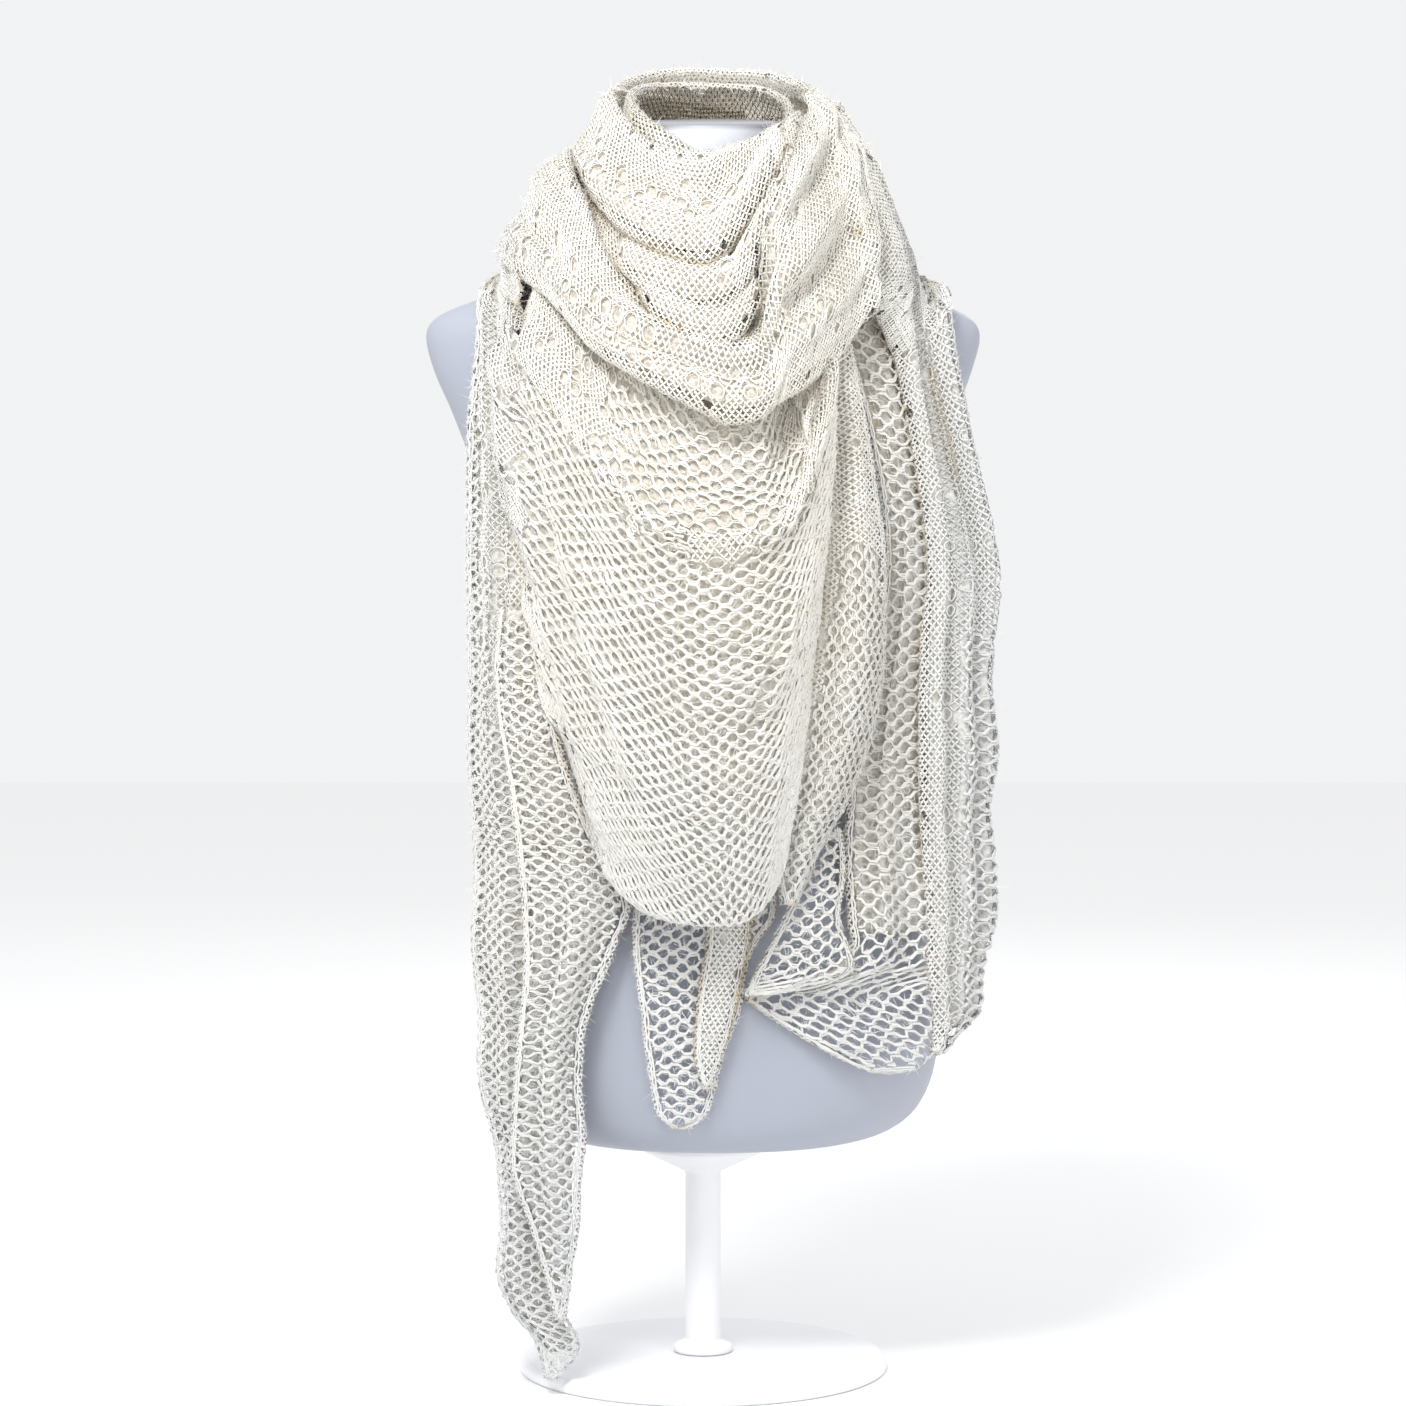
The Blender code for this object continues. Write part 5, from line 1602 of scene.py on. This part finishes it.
def studio():
    """A pale floor, soft light and the photograph's camera."""
    mesh = bpy.data.meshes.new("studio_floor")
    mesh.from_pydata([(-6, -6, 0), (6, -6, 0), (6, 6, 0), (-6, 6, 0)], [], [(0, 1, 2, 3)])
    material, surface = base_material("studio_floor_look", 0.9, specular=0.1)
    surface.inputs["Base Color"].default_value = (0.955, 0.955, 0.955, 1)
    mesh.materials.append(material)
    floor = bpy.data.objects.new("studio_floor", mesh)
    bpy.context.scene.collection.objects.link(floor)
    world = bpy.data.worlds.new("studio_world")
    world.use_nodes = True
    background = world.node_tree.nodes["Background"]
    background.inputs["Color"].default_value = (0.985, 0.99, 1.0, 1)
    background.inputs["Strength"].default_value = 0.90
    bpy.context.scene.world = world
    bpy.context.scene.view_settings.view_transform = "Standard"
    middle = (0.0, 0.0, 0.55)
    area_light("key", (-0.54, -1.36, 2.1), (0.0, 0.0, 0.78), 0.7, 31.0)
    area_light("fill", (1.3, -2.2, 1.0), middle, 1.6, 6.0)
    area_light("rear", (0.4, 2.2, 1.9), middle, 1.6, 8.0)
    camera = bpy.data.cameras.new("camera")
    camera.lens = CAMERA_LENS
    camera.sensor_width = 36.0
    camera.clip_end = 50.0
    obj = bpy.data.objects.new("camera", camera)
    bpy.context.scene.collection.objects.link(obj)
    rise = math.radians(CAMERA_RISE)
    obj.location = (
        CAMERA_TARGET[0],
        CAMERA_TARGET[1] - CAMERA_DISTANCE * math.cos(rise),
        CAMERA_TARGET[2] + CAMERA_DISTANCE * math.sin(rise),
    )
    aim(obj, CAMERA_TARGET)
    bpy.context.scene.camera = obj


def facing_grid(outer, outer_from, outer_to, inner, inner_from, inner_to, sag):
    """A grid in metres from the rim of one cloth to the low edge of another."""
    count = 14
    x_outer = np.linspace(outer_from - 0.5, outer_to - 0.5, count) * outer.length
    x_inner = np.linspace(inner_from - 0.5, inner_to - 0.5, count) * inner.length
    start, normal = outer.at(x_outer, -outer.width_at(x_outer) / 2, -2.0)
    end, _ = inner.at(x_inner, inner.width_at(x_inner) / 2, -6.0)
    rows = []
    for share in np.linspace(0, 1, 6):
        rows.append(start * (1 - share) + end * share - normal * sag * np.sin(np.pi * share))
    return np.stack(rows, axis=1) * MM


def knit_stretch(name, cloth, sample, free, materials, rng):
    """One stretch in yarn, with its halo of fibres and its lining."""
    knit = KNIT[name]
    mesh = Mesh()
    eyelets = eyelet_centres(cloth, name, ((11.8, 0, 0.5), (6, 10.4, 0.45), (-6, 10.4, 0.35)), rng)
    if len(eyelets):
        eyelets = eyelets[plain_areas(cloth, eyelets[:, 0], eyelets[:, 1], knit[4], knit[2])]
    net_x, net_y = knit_net(mesh, cloth, knit, rng)
    plain_x, plain_y = knit_plain(mesh, cloth, knit, eyelets, rng)
    knit_rings(mesh, cloth, eyelets, rng)
    edge_cords(mesh, cloth, EDGES.get(name, ()), rng)
    lace = mesh.object(name + "_lace", materials["wool"])
    halo = Mesh()
    fluff(halo, cloth, net_x, net_y, *NET_FLUFF, rng)
    fluff(halo, cloth, plain_x, plain_y, *PLAIN_FLUFF, rng)
    pieces = [halo.object(name + "_halo", materials["halo"])]
    if name in LININGS:
        pieces.append(line(name, cloth, materials["lining"]))
    for piece in (lace, *pieces):
        store_shade_openness(piece, sample, free)
        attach(piece, "root")
    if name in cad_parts:
        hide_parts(name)
    rim, low, begin, end = cloth.reach
    wide, long = float(cloth.width.max()) + rim + low, cloth.length + begin + end
    area = cloth.area + (rim + low) * cloth.length + (begin * cloth.width[0] + end * cloth.width[-1])
    share = min(max(area / (wide * long), 0.3), 1.0)
    flat = (wide * MM, long * MM)
    area = flat[0] * flat[1] * share


# Fibres to a stitch, as (long bent ones, short wisps)
NET_FLUFF = (0.28, 1.9)
PLAIN_FLUFF = (0.30, 1.7)

# The edges of each stretch that carry a knitted cord
EDGES = {
    "left_tail": ("rim", "low"),
    "left_fall": ("low",),
    "centre_tail": ("rim", "low"),
    "centre_tail_fold": ("rim", "low"),
    "right_flap": ("rim", "low", "end"),
    "right_inner_fall": ("rim", "end"),
    "right_outer_fall": ("low",),
    "pouch_border": ("rim", "low"),
}

studio()
plastic = form_material()
paint = stand_material()
skin = smooth_form(plastic)
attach(skin, "root")
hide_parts("form_torso")
base_rows = ((0, 40), (0, 133), (1.5, 135), (7, 135), (10.5, 130), (12, 60), (12, 30))
base = turned("stand_base_fine", rounded(base_rows, 2.0), 96, paint)
pole_rows = ((12.3, 6), (12.3, 22), (17, 22), (21, 13), (145.7, 13), (159.7, 42), (162.7, 46), (168.7, 46), (168.7, 10))
pole = turned("stand_pole_fine", rounded(pole_rows, 2.0), 72, paint)
for piece, solid in ((base, "stand_base"), (pole, "stand_pole")):
    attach(piece, "root")
    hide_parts(solid)

# The painted shade of folds and recesses, darker and warmer than the wool
SHADE = (0.60, 0.52, 0.39)
# Each wool look: its tones, its grey painted shade low down and at the sides, its painted fold shade, and its grain
looks = {
    "wool": wool_material(
        "wool_look",
        ((0.795, 0.757, 0.675), (0.825, 0.795, 0.727), (0.86, 0.835, 0.785)),
        (0.70, 0.71, 0.705),
        SHADE,
        0.12,
    ),
    "halo": wool_material(
        "halo_look", ((0.87, 0.84, 0.77), (0.89, 0.87, 0.82), (0.91, 0.895, 0.86)), (0.80, 0.81, 0.81), SHADE, 0.1
    ),
    "lining": lining_material(
        "lining_look",
        ((0.82, 0.76, 0.65), (0.87, 0.82, 0.73), (0.91, 0.87, 0.79)),
        (0.80, 0.81, 0.80),
        (0.64, 0.57, 0.45),
        0.7,
    ),
}
stretches = control_grids()
cloths = {}
for name, (grid, wound) in stretches.items():
    cloths[name] = Cloth(name, grid, KNIT[name][3])
    cloths[name].face(wound, grid)
for name, outer, outer_from, outer_to, inner, inner_from, inner_to, sag in FACINGS:
    grid = facing_grid(cloths[outer], outer_from, outer_to, cloths[inner], inner_from, inner_to, sag)
    cloths[name] = Cloth(name, grid, KNIT[name][3])
    cloths[name].face(True, grid)
samples = {name: sampled(cloth, OPEN_STEP) for name, cloth in cloths.items()}
skin_points = np.array([v.co for v in skin.data.vertices]) / MM
free = openness(samples, (skin_points, [tuple(p.vertices) for p in skin.data.polygons]))
for number, (name, cloth) in enumerate(cloths.items()):
    rng = np.random.default_rng(SEED * 100 + number)
    knit_stretch(name, cloth, samples[name][0], free[name], looks, rng)
